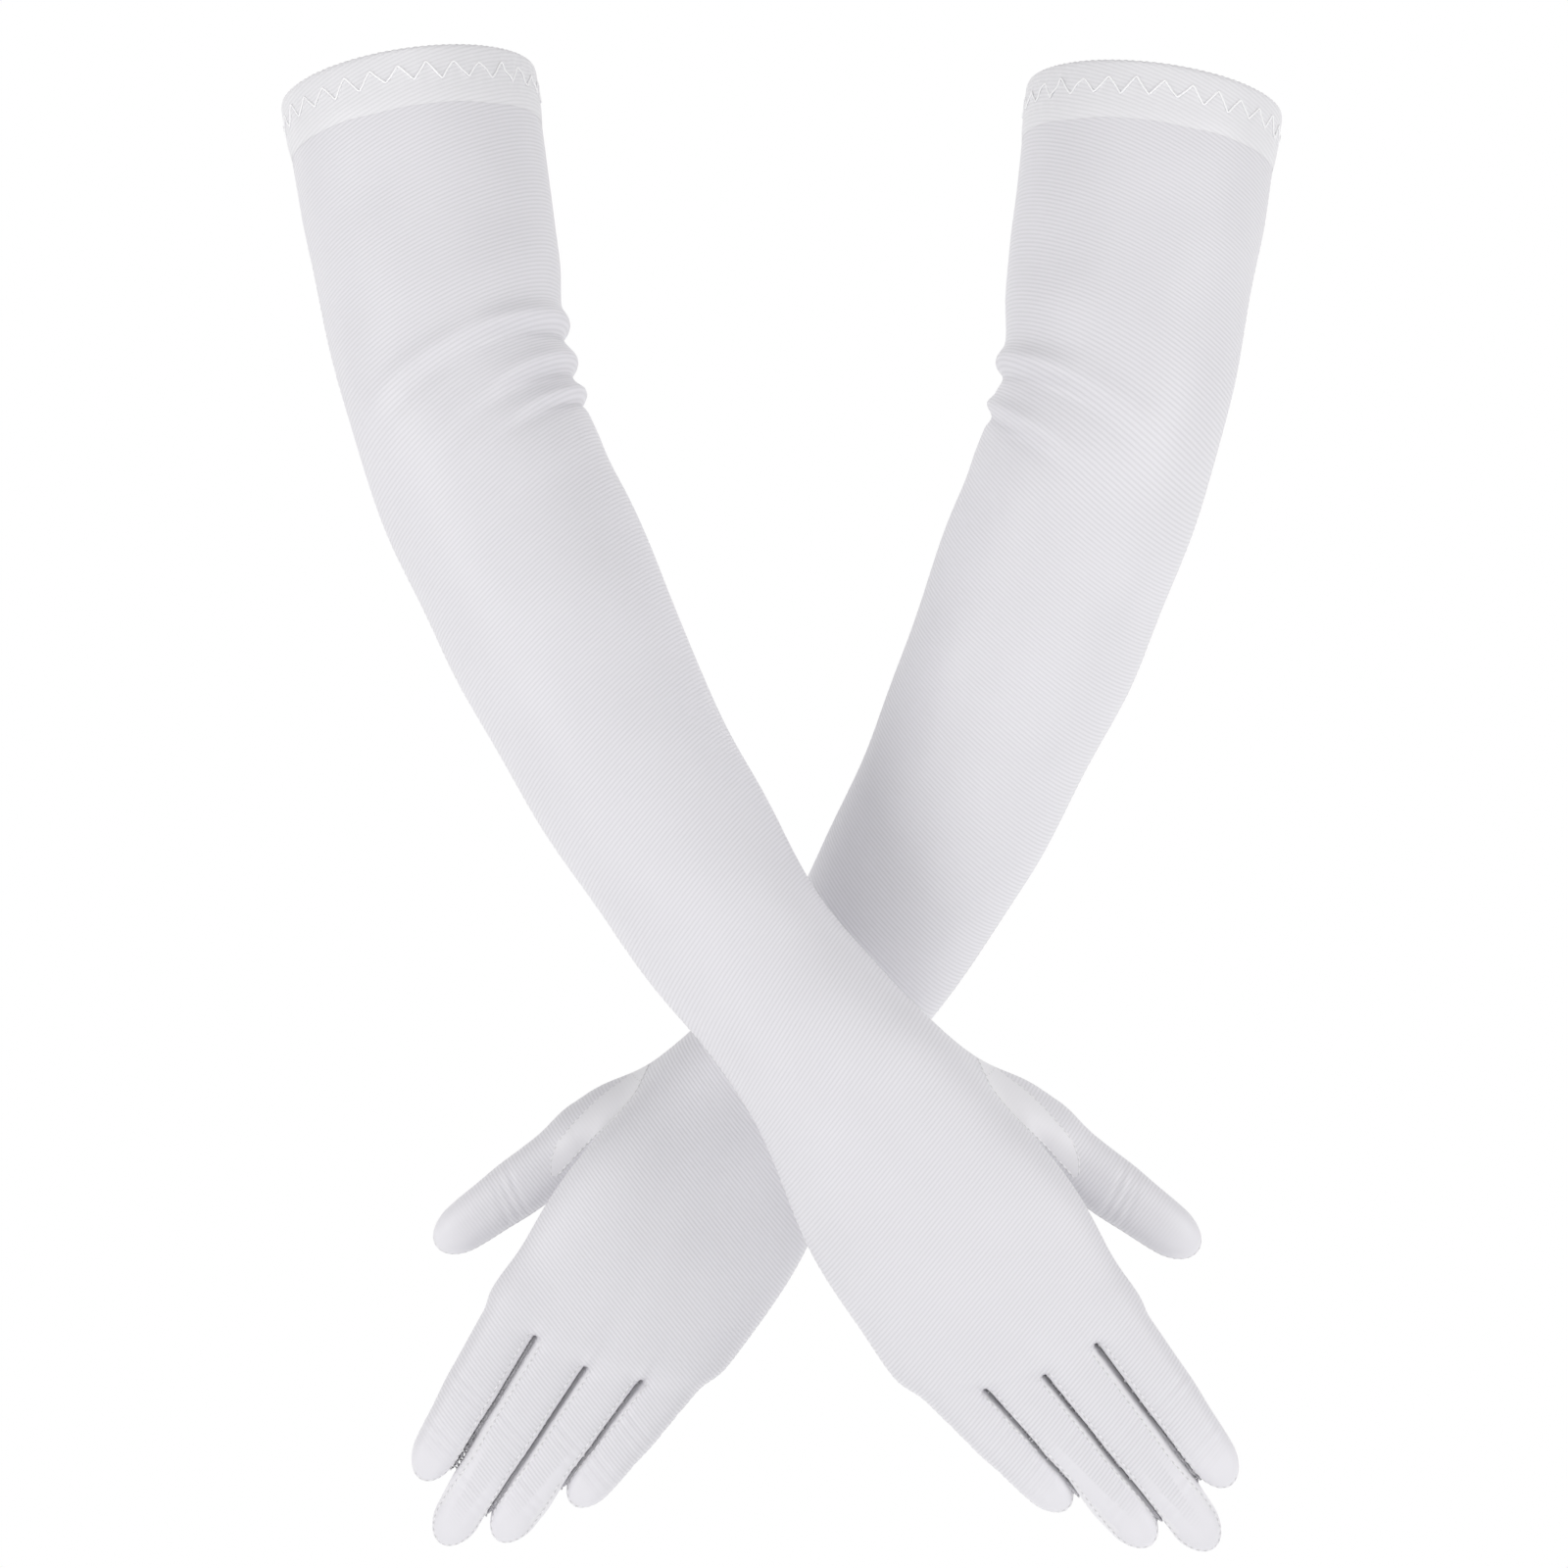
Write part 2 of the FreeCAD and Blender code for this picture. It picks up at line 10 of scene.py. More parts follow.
import bpy
import numpy as np
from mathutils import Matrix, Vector


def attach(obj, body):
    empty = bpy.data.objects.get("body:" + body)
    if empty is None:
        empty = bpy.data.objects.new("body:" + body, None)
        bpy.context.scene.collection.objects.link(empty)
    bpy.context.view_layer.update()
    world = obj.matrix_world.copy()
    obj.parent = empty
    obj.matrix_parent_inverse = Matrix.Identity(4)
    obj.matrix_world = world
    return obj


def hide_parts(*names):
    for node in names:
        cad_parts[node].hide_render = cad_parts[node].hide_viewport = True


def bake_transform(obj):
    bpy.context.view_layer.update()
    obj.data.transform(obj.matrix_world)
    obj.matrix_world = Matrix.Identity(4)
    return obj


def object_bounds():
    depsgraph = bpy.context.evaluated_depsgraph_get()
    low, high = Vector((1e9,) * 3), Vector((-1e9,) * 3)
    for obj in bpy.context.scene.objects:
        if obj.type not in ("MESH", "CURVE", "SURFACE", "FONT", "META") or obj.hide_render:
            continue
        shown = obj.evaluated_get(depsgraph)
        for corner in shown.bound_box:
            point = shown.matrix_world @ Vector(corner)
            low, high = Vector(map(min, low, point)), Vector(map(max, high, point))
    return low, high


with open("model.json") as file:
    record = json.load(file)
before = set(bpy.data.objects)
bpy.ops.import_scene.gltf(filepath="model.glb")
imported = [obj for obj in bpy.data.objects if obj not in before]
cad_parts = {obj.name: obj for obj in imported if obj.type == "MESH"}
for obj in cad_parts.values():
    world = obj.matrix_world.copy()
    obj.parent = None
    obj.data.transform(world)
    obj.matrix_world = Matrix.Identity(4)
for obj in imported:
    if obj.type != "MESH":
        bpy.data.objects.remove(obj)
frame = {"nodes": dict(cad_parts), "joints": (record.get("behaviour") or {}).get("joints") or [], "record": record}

cad_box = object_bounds()

MM = 0.001
DIGITS = ("index", "middle", "ring", "little")
joints = {joint["name"]: joint for joint in frame["joints"]}
mounts = {mount["name"]: mount for mount in frame["record"]["mounts"]}

# Lengths in mm unless a name says otherwise.
HEM_HEIGHT = 16.0
CLOTH = 0.5
FOREARM_BOW = 11.0
SLEEVE_CELL = 1.3
HAND_CELL = 0.8
RIB_PITCH = 1.3
RIB_SKEW = 0.34
# How much painted shade darkens the cloth's colour in the grooves between its ribs.
RIB_GROOVE_SHADE = 0.13
STITCH_LENGTH = 2.3
STITCH_PINCH = 0.45
CUT_ABOVE_WRIST = 31.0
ELBOW_CORNER = 0.9
WRIST_REACH = 23.0
SLIT_HALF_WIDTH = 0.45
THUMB_START = 11.5
THUMB_BEND = 7.0
SLIT_BULGE = (1.5, 2.6)
SLIT_ROUNDING = 1.4
CROTCH_RIDGE = (0.5, 1.5, 17.0)
BOX_MARGIN = np.array([36.0, 32.0, 24.0])
FOURCHETTE_ANGLE = math.radians(43)
FINGER_POWER = 2.35
# Where neighbouring fingers part, from the wrist: down the hand, and towards the thumb.
CROTCHES = {"index": (118.0, 20.0), "middle": (117.6, 1.3), "ring": (111.5, -15.6)}
HALF_WIDTHS = {"index": 9.6, "middle": 9.9, "ring": 9.3, "little": 8.5, "thumb": 10.4}
# How far a finger's cloth lies to the thumb side of the line through its joints.
CLOTH_SHIFT = {"index": -0.7, "middle": 0.0, "ring": 0.0, "little": 0.5, "thumb": 0.0}
# Bone joints crease the cloth: distance from the joint, depth, width, slope across the finger.
KNUCKLE_CREASES = ((-2.6, 0.30, 1.3, 0.22), (0.8, 0.36, 1.2, 0.16), (3.8, 0.22, 1.4, 0.3))
# Shares of a finger's half width: its depth, its rounded end, and what it loses by its end.
FINGER_FLATNESS = 0.82
FINGER_CAP = 1.15
FINGER_TAPER = 0.3
# Swells at a finger's joints and half way down its last length: height and width.
JOINT_SWELL = (0.28, 7)
PAD_SWELL = (0.15, 6)
# Where the palm ends: places towards the thumb, and how far down from the wrist.
PALM_END = ((-40, -31, -16, 1, 20, 44), (96, 103, 109.5, 115.5, 116.5, 116))
# The ball of the thumb: its start from the wrist, its radius there and how much that shrinks.
THENAR_START = (8, 12, 2)
THENAR_RADIUS = 17.0
THENAR_TAPER = 7.4
# Widths over which one surface flows into another.
PALM_END_BLEND = 7
FINGER_BLEND = 7
THENAR_BLEND = 12
THUMB_BLEND = 9
# A typical radius of the sleeve, where an angle has to stand for a length.
SLEEVE_RADIUS = 36
# Elbow folds: offset from the elbow, height, width, reach around the arm, share of the sweep.
FOLDS = {
    "right": [(-22, 2.9, 3.9, 1.25, 1.0), (-6.5, 2.9, 4.2, 0.8, 1.6), (8, 2.7, 2.9, 0.5, 1.2),
              (-42, 0.7, 9.0, 1.2, 1.0), (24, 0.5, 8.0, 1.2, 1.0)],
    "left": [(-14, 3.2, 4.0, 0.95, 1.0), (3.5, 2.7, 3.4, 0.6, 0.9), (-36, 0.7, 9.0, 1.2, 1.0),
             (22, 0.5, 8.0, 1.2, 1.0)],
}
FOLD_PEAK = 0.55
# The turned hem in section: distance below the rim and offset from the sleeve's outer side.
HEM_SECTION = (
    (HEM_HEIGHT + 2.4, 0.04), (HEM_HEIGHT + 1.6, 0.14), (HEM_HEIGHT + 0.6, 0.3),
    (HEM_HEIGHT - 0.8, 0.45), (HEM_HEIGHT - 3, 0.58), (8.5, 0.7), (4.0, 0.74), (1.2, 0.72),
    (0.1, 0.44), (-0.35, -0.1), (-0.3, -0.6), (0.3, -1.05), (1.8, -1.24), (6.0, -1.28),
    (11.0, -1.22), (HEM_HEIGHT - 1, -1.16), (HEM_HEIGHT - 0.4, -0.95), (HEM_HEIGHT - 1, -0.62),
    (8.0, -0.62), (1.2, -0.6), (0.9, -0.25), (1.2, 0.1), (8.0, 0.12), (HEM_HEIGHT + 1, 0.0))
HEM_SEGMENTS = 420
# How often small marks repeat round the hem, and where on it the puckers gather (radians).
HEM_STITCHES = 50
HEM_PUCKERS = 46
HEM_SCALLOPS = 112
PUCKER_PLACE = 0.62
PUCKER_SPREAD = 0.42
ZIGZAG_PITCH = 9.0
ZIGZAG_MIDDLE = 7.8
ZIGZAG_HEIGHT = 5.6
THREAD_RADIUS = 41
THREAD_SPACING = 0.3
THREAD_LIFT = 0.86
SEAM_SPACING = 0.45
SEAM_SINK = 0.08
# The pinch at a stitch, as a share of the stitch, and the length over which a seam's end thins.
PINCH_WIDTH = 0.17
SEAM_END = 1.5
# The thumb's gusset on the back of the hand: down the hand, and towards the thumb.
GUSSET_SEAM = ((73, 43), (60, 41), (45, 37.5), (34, 36), (24, 37.5))
GUSSET_EDGE = ((74, 44), (69, 47.5), (62, 49), (44, 46), (24, 38.5))
# The materials on a piece of cloth, in this order.
MAIN, INSERT, SEAM = 0, 1, 2
# Directions: AWAY points from the viewer into the picture.
AWAY = np.array([0, 1.0, 0])
# Metres, from the middle of the CAD box, except the light powers.
CAMERA_DISTANCE = 1.5
VIEW_PLANE = 0.026
VIEW_MARGIN = 1.0273
VIEW_SHIFT = (0.0007, 0.0094)
STAGE_DEPTH = 2.4
FLAT_SHARE = 0.62
BEND_SHARE = 0.38
FLOOR_GAP = 0.05
PAPER_GLOW = 1.0
ROOM_LIGHT = 0.41
SOFT_LIGHTS = (
    ("left_window", (-1.25, -0.8, -0.15), 0.8, 9.4),
    ("right_window", (1.25, -0.8, -0.15), 0.8, 9.6),
    ("top_front", (-0.3, -1.5, 2.2), 0.6, 14.5),
)


def unit(vector):
    return vector / np.linalg.norm(vector)


def joint_place(name):
    return np.array(joints[name]["pos_m"], float) / MM


def farthest(node, origin, direction):
    """How far a CAD node reaches from a point, along a direction."""
    corners = np.array([v.co for v in frame["nodes"][node].data.vertices], float) / MM
    return float(((corners - origin) @ direction).max())


def smooth_track(samples, window):
    """Evenly spaced values, rounded off by a moving average run twice."""
    kernel = np.ones(window) / window
    for _ in range(2):
        padded = np.concatenate([
            2 * samples[0] - samples[window // 2:0:-1], samples,
            2 * samples[-1] - samples[-2:-window // 2 - 1:-1]])
        samples = np.convolve(padded, kernel, "valid")[:len(samples)]
    return samples


def smooth_path(points, window):
    return np.stack([smooth_track(points[:, i], window) for i in range(3)], 1)


def path_lengths(points):
    """Distance from the start of a path to each of its points."""
    return np.concatenate([[0], np.cumsum(np.linalg.norm(np.diff(points, axis=0), axis=1))])


def full_turn(count):
    return np.arange(count) * 2 * math.pi / count


def smooth_min(first, second, width):
    """The lesser of two distances, with the crease between them rounded over a width."""
    overlap = np.maximum(width - np.abs(first - second), 0) / width
    return np.minimum(first, second) - overlap ** 3 * width / 6


def smooth_max(first, second, width):
    return -smooth_min(-first, -second, width)


def step(edge_low, edge_high, value):
    share = np.clip((value - edge_low) / (edge_high - edge_low), 0, 1)
    return share * share * (3 - 2 * share)


def bump(distance, width):
    """A soft ridge: 1 on its line, 0 beyond about two widths."""
    return np.exp(-(distance / width) ** 2)


def oval_radius(angle, half_width, half_depth, power):
    """Radius of a squared oval at an angle from its wide axis."""
    across = np.abs(np.cos(angle)) / half_width
    through = np.abs(np.sin(angle)) / half_depth
    return (across ** power + through ** power) ** (-1 / power)


class Tube:
    """The cloth tube from the arm opening to the knuckles, with a frame at each millimetre.

    Its x runs to the thumb side and its y from the back of the hand to the palm.
    """

    def __init__(self, side, points, stations):
        self.side = side
        points = np.array(points, float)
        lengths = path_lengths(points)
        self.length = lengths[-1]
        self.steps = np.arange(-20, self.length + 21, 1.0)
        inside = np.clip(self.steps, 0, self.length)
        centre = np.stack([np.interp(inside, lengths, points[:, i]) for i in range(3)], 1)
        start = unit(points[0] - points[1])
        finish = unit(points[-1] - points[-2])
        centre += np.maximum(-self.steps, 0)[:, None] * start
        centre += np.maximum(self.steps - self.length, 0)[:, None] * finish
        self.centre = smooth_path(centre, 37)
        tangent = np.gradient(self.centre, axis=0)
        self.down = tangent / np.linalg.norm(tangent, axis=1)[:, None]
        back = AWAY - self.down[:, 1:2] * self.down
        self.through = back / np.linalg.norm(back, axis=1)[:, None]
        self.across = side * np.cross(self.down, self.through)
        stations = np.array(stations, float)
        self.sizes = [smooth_track(np.interp(self.steps, stations[:, 0], stations[:, i]), 17)
                      for i in range(1, 5)]

    def at(self, table, along):
        return np.stack([np.interp(along, self.steps, table[:, i]) for i in range(3)], -1)

    def locate(self, points):
        """Distance down the tube, and x and y there, for each point."""
        along = np.interp(-points[:, 2], -self.centre[:, 2], self.steps)
        for _ in range(4):
            offset = points - self.at(self.centre, along)
            along = along + (offset * self.at(self.down, along)).sum(1)
            along = np.clip(along, self.steps[0], self.steps[-1])
        offset = points - self.at(self.centre, along)
        x = (offset * self.at(self.across, along)).sum(1)
        y = (offset * self.at(self.through, along)).sum(1)
        return along, x, y

    def place(self, along, x, y):
        return (self.at(self.centre, along) + x[:, None] * self.at(self.across, along)
                + y[:, None] * self.at(self.through, along))

    def radius(self, along, angle):
        width, depth, shift, power = (np.interp(along, self.steps, size) for size in self.sizes)
        return oval_radius(angle, width, depth, power), shift


class Digit:
    """A finger or thumb as a flattened, tapering bar with a rounded end."""

    def __init__(self, glove, name, side):
        self.name = name
        prefix = f"{glove}_{name}"
        self.root = joint_place(f"{prefix}_root_bend")
        self.pivots = [0.0]
        last = joint_place(f"{prefix}_tip_bend")
        self.down = unit(last - self.root)
        if name != "thumb":
            knuckle = joint_place(f"{prefix}_knuckle_bend")
            self.pivots.append(float((knuckle - self.root) @ self.down))
        self.pivots.append(float((last - self.root) @ self.down))
        self.length = farthest(f"{prefix}_tip", self.root, self.down)
        self.across = side * np.array(joints[f"{prefix}_root_bend"]["axis"], float)
        self.through = side * np.cross(self.across, self.down)
        self.half_width = HALF_WIDTHS[name]
        self.shift = CLOTH_SHIFT[name]
        self.cap = FINGER_CAP * self.half_width
        self.straight = self.length - self.cap

    def locate(self, points):
        offset = points - self.root
        return offset @ self.down, offset @ self.across - self.shift, offset @ self.through

    def place(self, along, x, y):
        return (self.root + np.outer(along, self.down) + np.outer(x + self.shift, self.across)
                + np.outer(y, self.through))

    def over_tip(self, turn, x, y):
        """A path over the rounded end, after a turn from the straight part."""
        return self.place(self.straight + self.cap * np.sin(turn), x * np.cos(turn), y)

    def half_sizes(self, along):
        share = np.clip(along / self.length, -0.2, 1)
        width = self.half_width * (1 - FINGER_TAPER * np.clip(share, 0, 1) ** 2.0)
        for pivot in self.pivots[1:]:
            width = width + JOINT_SWELL[0] * bump(along - pivot, JOINT_SWELL[1])
        middle = (self.pivots[-1] + self.length) / 2
        width = width + PAD_SWELL[0] * bump(along - middle, PAD_SWELL[1])
        return width, width * (FINGER_FLATNESS + 0.04 * (1 - share))

    def distance(self, points):
        along, x, y = self.locate(points)
        width, depth = self.half_sizes(along)
        start = np.maximum(-along - 4, 0) / 16
        end = np.maximum(along - self.straight, 0) / self.cap
        angle = np.arctan2(y, x)
        radius = oval_radius(angle, width, depth, FINGER_POWER)
        flat = np.hypot(x, y) / radius
        whole = np.sqrt(flat ** 2 + np.where(end > 0, end, start) ** 2.2)
        crease = 0
        for pivot in self.pivots[1:]:
            for offset, deep, width_of, slope in KNUCKLE_CREASES:
                crease = crease + deep * bump(along - pivot - offset + slope * x, width_of)
        return (whole - 1) * depth + crease * step(0.15, 0.9, np.abs(np.sin(angle)))


class Glove:
    def __init__(self, name, side):
        self.name = name
        self.side = side
        axis = unit(np.array(mounts[f"{name}_arm_opening"]["axis"], float))
        opening = np.array(mounts[f"{name}_arm_opening"]["pos_m"], float) / MM
        self.rim = opening + axis * farthest(f"{name}_hem_band", opening, axis)
        self.elbow = joint_place(f"{name}_elbow_bend")
        self.wrist = joint_place(f"{name}_wrist_bend")
        self.hand_across = side * unit(np.array(joints[f"{name}_wrist_bend"]["axis"], float))
        down = unit(np.cross(AWAY, self.hand_across))
        self.hand_down = -down if down[2] > 0 else down
        self.hand_through = AWAY
        self.tube = self.make_tube()
        self.wrist_along = self.tube.locate(self.wrist[None])[0][0]
        self.elbow_along = self.tube.locate(self.elbow[None])[0][0]
        self.digits = [Digit(name, digit, side) for digit in DIGITS]
        self.thumb = Digit(name, "thumb", side)
        self.cut = self.wrist_along - CUT_ABOVE_WRIST
        self.thumb_split = self.thumb.pivots[-1] - THUMB_BEND

    def make_tube(self):
        """Centre line through the arm opening, elbow and wrist, bowed down the forearm."""
        forearm = self.wrist - self.elbow
        outward = -self.side * unit(np.cross(unit(forearm), AWAY))
        corner = unit(unit(self.elbow - self.rim) - unit(forearm))
        points = [self.rim, self.elbow + ELBOW_CORNER * corner]
        for share, bow in ((0.22, 0.5), (0.4, 0.86), (0.58, 1.0), (0.84, 0.72)):
            points.append(self.elbow + share * forearm + outward * FOREARM_BOW * bow)
        points += [self.wrist, self.wrist + 60 * self.hand_down, self.wrist + 135 * self.hand_down]
        upper = np.linalg.norm(self.elbow - self.rim)
        low = np.linalg.norm(forearm)
        wrist = upper + low + 1.5
        stations = [
            # along, half width, half depth, shift to the thumb side, squareness
            (-20, 40.6, 40.6, 0, 2.0), (HEM_HEIGHT, 40.4, 40.4, 0, 2.0),
            (upper * 0.6, 38.6, 38.4, 0, 2.0), (upper, 36.4, 36.2, 0, 2.0),
            (upper + 0.12 * low, 36.6, 36.2, 0, 2.0), (upper + 0.32 * low, 36.6, 36, 0, 2.0),
            (upper + 0.58 * low, 32.6, 31.6, 0, 2.0), (upper + 0.75 * low, 30.0, 27.5, 0, 2.0),
            (upper + 0.87 * low, 28.7, 24.5, 0, 2.05), (wrist, 30.8, 21.6, 0, 2.15),
            (wrist + 20, 33.6, 20.0, -0.6, 2.2), (wrist + 40, 37.0, 17.6, -0.6, 2.3),
            (wrist + 60, 39.8, 15.6, 0.4, 2.4), (wrist + 80, 40.4, 13.6, 1.0, 2.4),
            (wrist + 100, 38.6, 11.0, 1.8, 2.4), (wrist + 120, 36.4, 8.4, 3.0, 2.4),
            (wrist + 160, 34, 7, 3.0, 2.4),
        ]
        return Tube(self.side, points, stations)

    def sleeve_radius(self, along, angle):
        """Radius of the sleeve about the tube's centre line, wrinkles included."""
        radius, shift = self.tube.radius(along, angle)
        drape = (0.35 * np.sin(along / 19 + 2 * angle) + 0.25 * np.sin(along / 8.3 - 3 * angle + 1.2)
                 + self.side * 0.2 * np.sin(along / 12.7 + 5 * angle))
        drape = drape * step(HEM_HEIGHT, 3 * HEM_HEIGHT, along)
        return radius + self.elbow_wrinkles(along, angle) + drape, shift

    def sleeve_point(self, along, angle, offset=0.0):
        radius, shift = self.sleeve_radius(along, angle)
        radius = radius + offset
        return self.tube.place(along, radius * np.cos(angle) + shift, radius * np.sin(angle))

    def sleeve_normal(self, along, angle):
        reach = 0.2
        turn = reach / SLEEVE_RADIUS
        down = self.sleeve_point(along + reach, angle) - self.sleeve_point(along - reach, angle)
        around = self.sleeve_point(along, angle + turn) - self.sleeve_point(along, angle - turn)
        normal = self.side * np.cross(down, around)
        return normal / np.linalg.norm(normal, axis=1)[:, None]

    def hand_point(self, down, toward_thumb, through=0.0):
        return (self.wrist + np.multiply.outer(down, self.hand_down)
                + np.multiply.outer(toward_thumb, self.hand_across)
                + np.multiply.outer(through, self.hand_through))

    def elbow_wrinkles(self, along, angle):
        """Folds that start in the crook, on the thumb side, and sweep down over the front."""
        front = np.arctan2(-np.sin(angle), np.cos(angle))
        around = np.abs(front)
        sweep = np.where(front > 0, 3.4, 2.5)
        total = np.zeros_like(along)
        for offset, height, width, spread, slope in FOLDS[self.name]:
            line = self.elbow_along + offset + sweep * slope * around ** 2
            fade = height * np.exp(-(np.maximum(around - FOLD_PEAK, 0) / spread) ** 2)
            fade = fade * (0.72 + 0.28 * step(0, FOLD_PEAK, around))
            distance = along - line
            hollow = 0.6 * bump(distance - 1.5 * width, 0.9 * width)
            total = total + fade * (bump(distance, width) - hollow)
        return total

    def hand_distance(self, points):
        """Signed distance to the cloth from the lower forearm to the fingertips."""
        along, x, y = self.tube.locate(points)
        angle = np.arctan2(y, x)
        radius, shift = self.sleeve_radius(along, angle)
        angle = np.arctan2(y, x - shift)
        radius, shift = self.sleeve_radius(along, angle)
        trunk = np.hypot(x - shift, y) - radius
        past = along - self.wrist_along
        trunk = smooth_max(trunk, past - np.interp(x, *PALM_END), PALM_END_BLEND)
        each = [digit.distance(points) for digit in self.digits]
        whole = smooth_min(trunk, np.minimum.reduce(each), FINGER_BLEND)
        down = (points - self.wrist) @ self.hand_down
        aside = (points - self.wrist) @ self.hand_across
        depth = (points - self.wrist) @ self.hand_through
        bulge = self.slit_bulge(points)
        height, width, reach = CROTCH_RIDGE
        for first, second, (crotch, across) in zip(each, each[1:], CROTCHES.values()):
            ridge = step(crotch - reach, crotch - 2, down) * step(crotch + 3, crotch - 1, down)
            whole = whole - height * ridge * bump(aside - across, width) * step(2, -4, depth)
            slit = np.minimum(SLIT_HALF_WIDTH - np.abs((first - second) / 2 + bulge), down - crotch)
            whole = smooth_max(whole, slit, SLIT_ROUNDING)
        thumb = smooth_min(self.thumb.distance(points), self.thenar(points), THENAR_BLEND)
        return smooth_min(whole, thumb, THUMB_BLEND)

    def slit_bulge(self, points):
        """How far the gap between two fingers steps sideways, so that it can't be seen through."""
        depth = (points - self.wrist) @ self.hand_through
        return SLIT_BULGE[0] * bump(depth, SLIT_BULGE[1])

    def search_box(self):
        """A box round the hand and the lower forearm."""
        reach = [digit.place(np.array([-5.0, digit.length]), np.zeros(2), np.zeros(2))
                 for digit in self.digits + [self.thumb]]
        reach.append(self.tube.at(self.tube.centre, np.array([self.cut - 2, self.wrist_along])))
        reach = np.concatenate(reach)
        return reach.min(0) - BOX_MARGIN, reach.max(0) + BOX_MARGIN

    def rib_distance(self, points):
        """Distance down the cloth, skewed the way the ribs run."""
        along, x, _ = self.tube.locate(points)
        past = (points - self.wrist) @ self.hand_down
        on_hand = step(30, 70, past)
        along = along * (1 - on_hand) + (self.wrist_along + past) * on_hand
        return along + RIB_SKEW * x

    def splits(self, digit):
        """Distances down a finger where its three pieces of cloth start."""
        position = self.digits.index(digit)
        edges = list(CROTCHES.values())[max(position - 1, 0):position + 1]
        reach = max(float((self.hand_point(*edge) - digit.root) @ digit.down) for edge in edges)
        start = 1.2 + reach
        first = max(digit.pivots[1] / 2, start + 7.5)
        return start, first, (digit.pivots[1] + digit.pivots[2]) / 2

    def label(self, points):
        """The number in plans() of the piece of cloth that each point belongs to."""
        labels = np.zeros(len(points), int)
        each = np.stack([digit.distance(points) for digit in self.digits])
        nearest = ((each[:-1] - each[1:]) / 2 + self.slit_bulge(points) > 0).sum(0)
        for position, digit in enumerate(self.digits):
            along = digit.locate(points)[0]
            mine = (nearest == position) & (each[position] < 3)
            for part, start in enumerate(self.splits(digit)):
                labels[mine & (along > start)] = 1 + 3 * position + part
        along = self.thumb.locate(points)[0]
        mine = (self.thumb.distance(points) < 2) & (self.thumb.distance(points) < each.min(0))
        labels[mine & (along > THUMB_START)] = 13
        labels[mine & (along > self.thumb_split)] = 14
        return labels

    def on_fourchette(self, points, labels):
        """Whether a point lies on the narrow side strips between two fingers."""
        found = np.zeros(len(points), bool)
        for position, digit in enumerate(self.digits):
            along, x, y = digit.locate(points)
            angle = np.abs(np.arctan2(y, np.abs(x)))
            inner = np.zeros(len(points), bool)
            if position > 0:
                inner |= x > 0
            if position < len(self.digits) - 1:
                inner |= x < 0
            mine = (labels > 3 * position) & (labels <= 3 * position + 3)
            found |= mine & inner & (angle < FOURCHETTE_ANGLE) & (along < digit.straight)
        return found

    def on_back(self, spots):
        """A smooth path over the back of the hand, through spots seen from behind the hand."""
        flat = np.array([(*spot, 0.0) for spot in spots])
        path = curve(flat)
        depth = np.arange(-30, 30, 0.5)
        places = (self.wrist + path[:, None, :1] * self.hand_down
                  + path[:, None, 1:2] * self.hand_across
                  + depth[None, :, None] * self.hand_through)
        inside = self.hand_distance(places.reshape(-1, 3)).reshape(len(path), len(depth)) < 0
        first = np.where(inside.any(1), inside.argmax(1), len(depth) // 2)
        return places[np.arange(len(path)), first]

    def on_gusset(self, points, normals):
        """Whether a point lies on the leaf-shaped piece let in at the root of the thumb."""
        offset = points - self.wrist
        down = offset @ self.hand_down
        aside = offset @ self.hand_across
        edges = []
        for line in (GUSSET_SEAM, GUSSET_EDGE):
            line = np.array(line)[::-1]
            edges.append(np.interp(down, line[:, 0], line[:, 1]))
        inside = (down > GUSSET_SEAM[-1][0]) & (down < GUSSET_SEAM[0][0])
        return inside & (aside > edges[0]) & (aside < edges[1]) & (normals @ self.hand_through < 0)

    def rib_fade(self, points):
        """How far the ribs have been stretched smooth: 1 at the ends of the fingers."""
        fade = np.zeros(len(points))
        for digit in self.digits + [self.thumb]:
            along, x, y = digit.locate(points)
            near = np.hypot(x, y) < 1.6 * digit.half_width
            end = step(digit.length - 2.2 * digit.cap, digit.length - 0.5 * digit.cap,
                       along + 0.3 * np.abs(x))
            fade = np.maximum(fade, near * end)
        return fade

    def plans(self):
        """For each piece of hand cloth: its name, CAD nodes, two bodies and where it bends."""
        g = self.name
        arm = unit(unit(self.wrist - self.elbow) + self.hand_down)
        plans = [{"name": f"{g}_hand_cloth", "from": f"{g}_forearm", "to": f"{g}_hand",
                  "nodes": [f"{g}_back_panel", f"{g}_palm_panel", f"{g}_hand_seam",
                            f"{g}_thumb_gusset"],
                  "start": self.wrist - WRIST_REACH * arm, "end": self.wrist + WRIST_REACH * arm}]
        for digit in self.digits:
            start, first, second = self.splits(digit)
            knuckle = min(9.0, digit.pivots[1] - first - 0.3)
            tip = min(8.0, digit.pivots[2] - second - 0.3)
            bends = ((start + 0.3, first - 0.3),
                     (digit.pivots[1] - knuckle, digit.pivots[1] + knuckle),
                     (digit.pivots[2] - tip, digit.pivots[2] + tip))
            bodies = ("hand", f"{digit.name}_base", f"{digit.name}_middle", f"{digit.name}_tip")
            for part, (low, high) in enumerate(bends):
                body = f"{g}_{bodies[part + 1]}"
                nodes = [body, f"{g}_{digit.name}_fourchette"] if part == 0 else [body]
                plans.append({"name": f"{body}_cloth", "from": f"{g}_{bodies[part]}", "to": body,
                              "nodes": nodes, "start": digit.root + low * digit.down,
                              "end": digit.root + high * digit.down})
        thumb = self.thumb
        split = self.thumb_split
        for source, body, low, high in (("hand", "thumb_base", THUMB_START + 0.3, split - 0.5),
                                        ("thumb_base", "thumb_tip", split + 0.3, split + 13)):
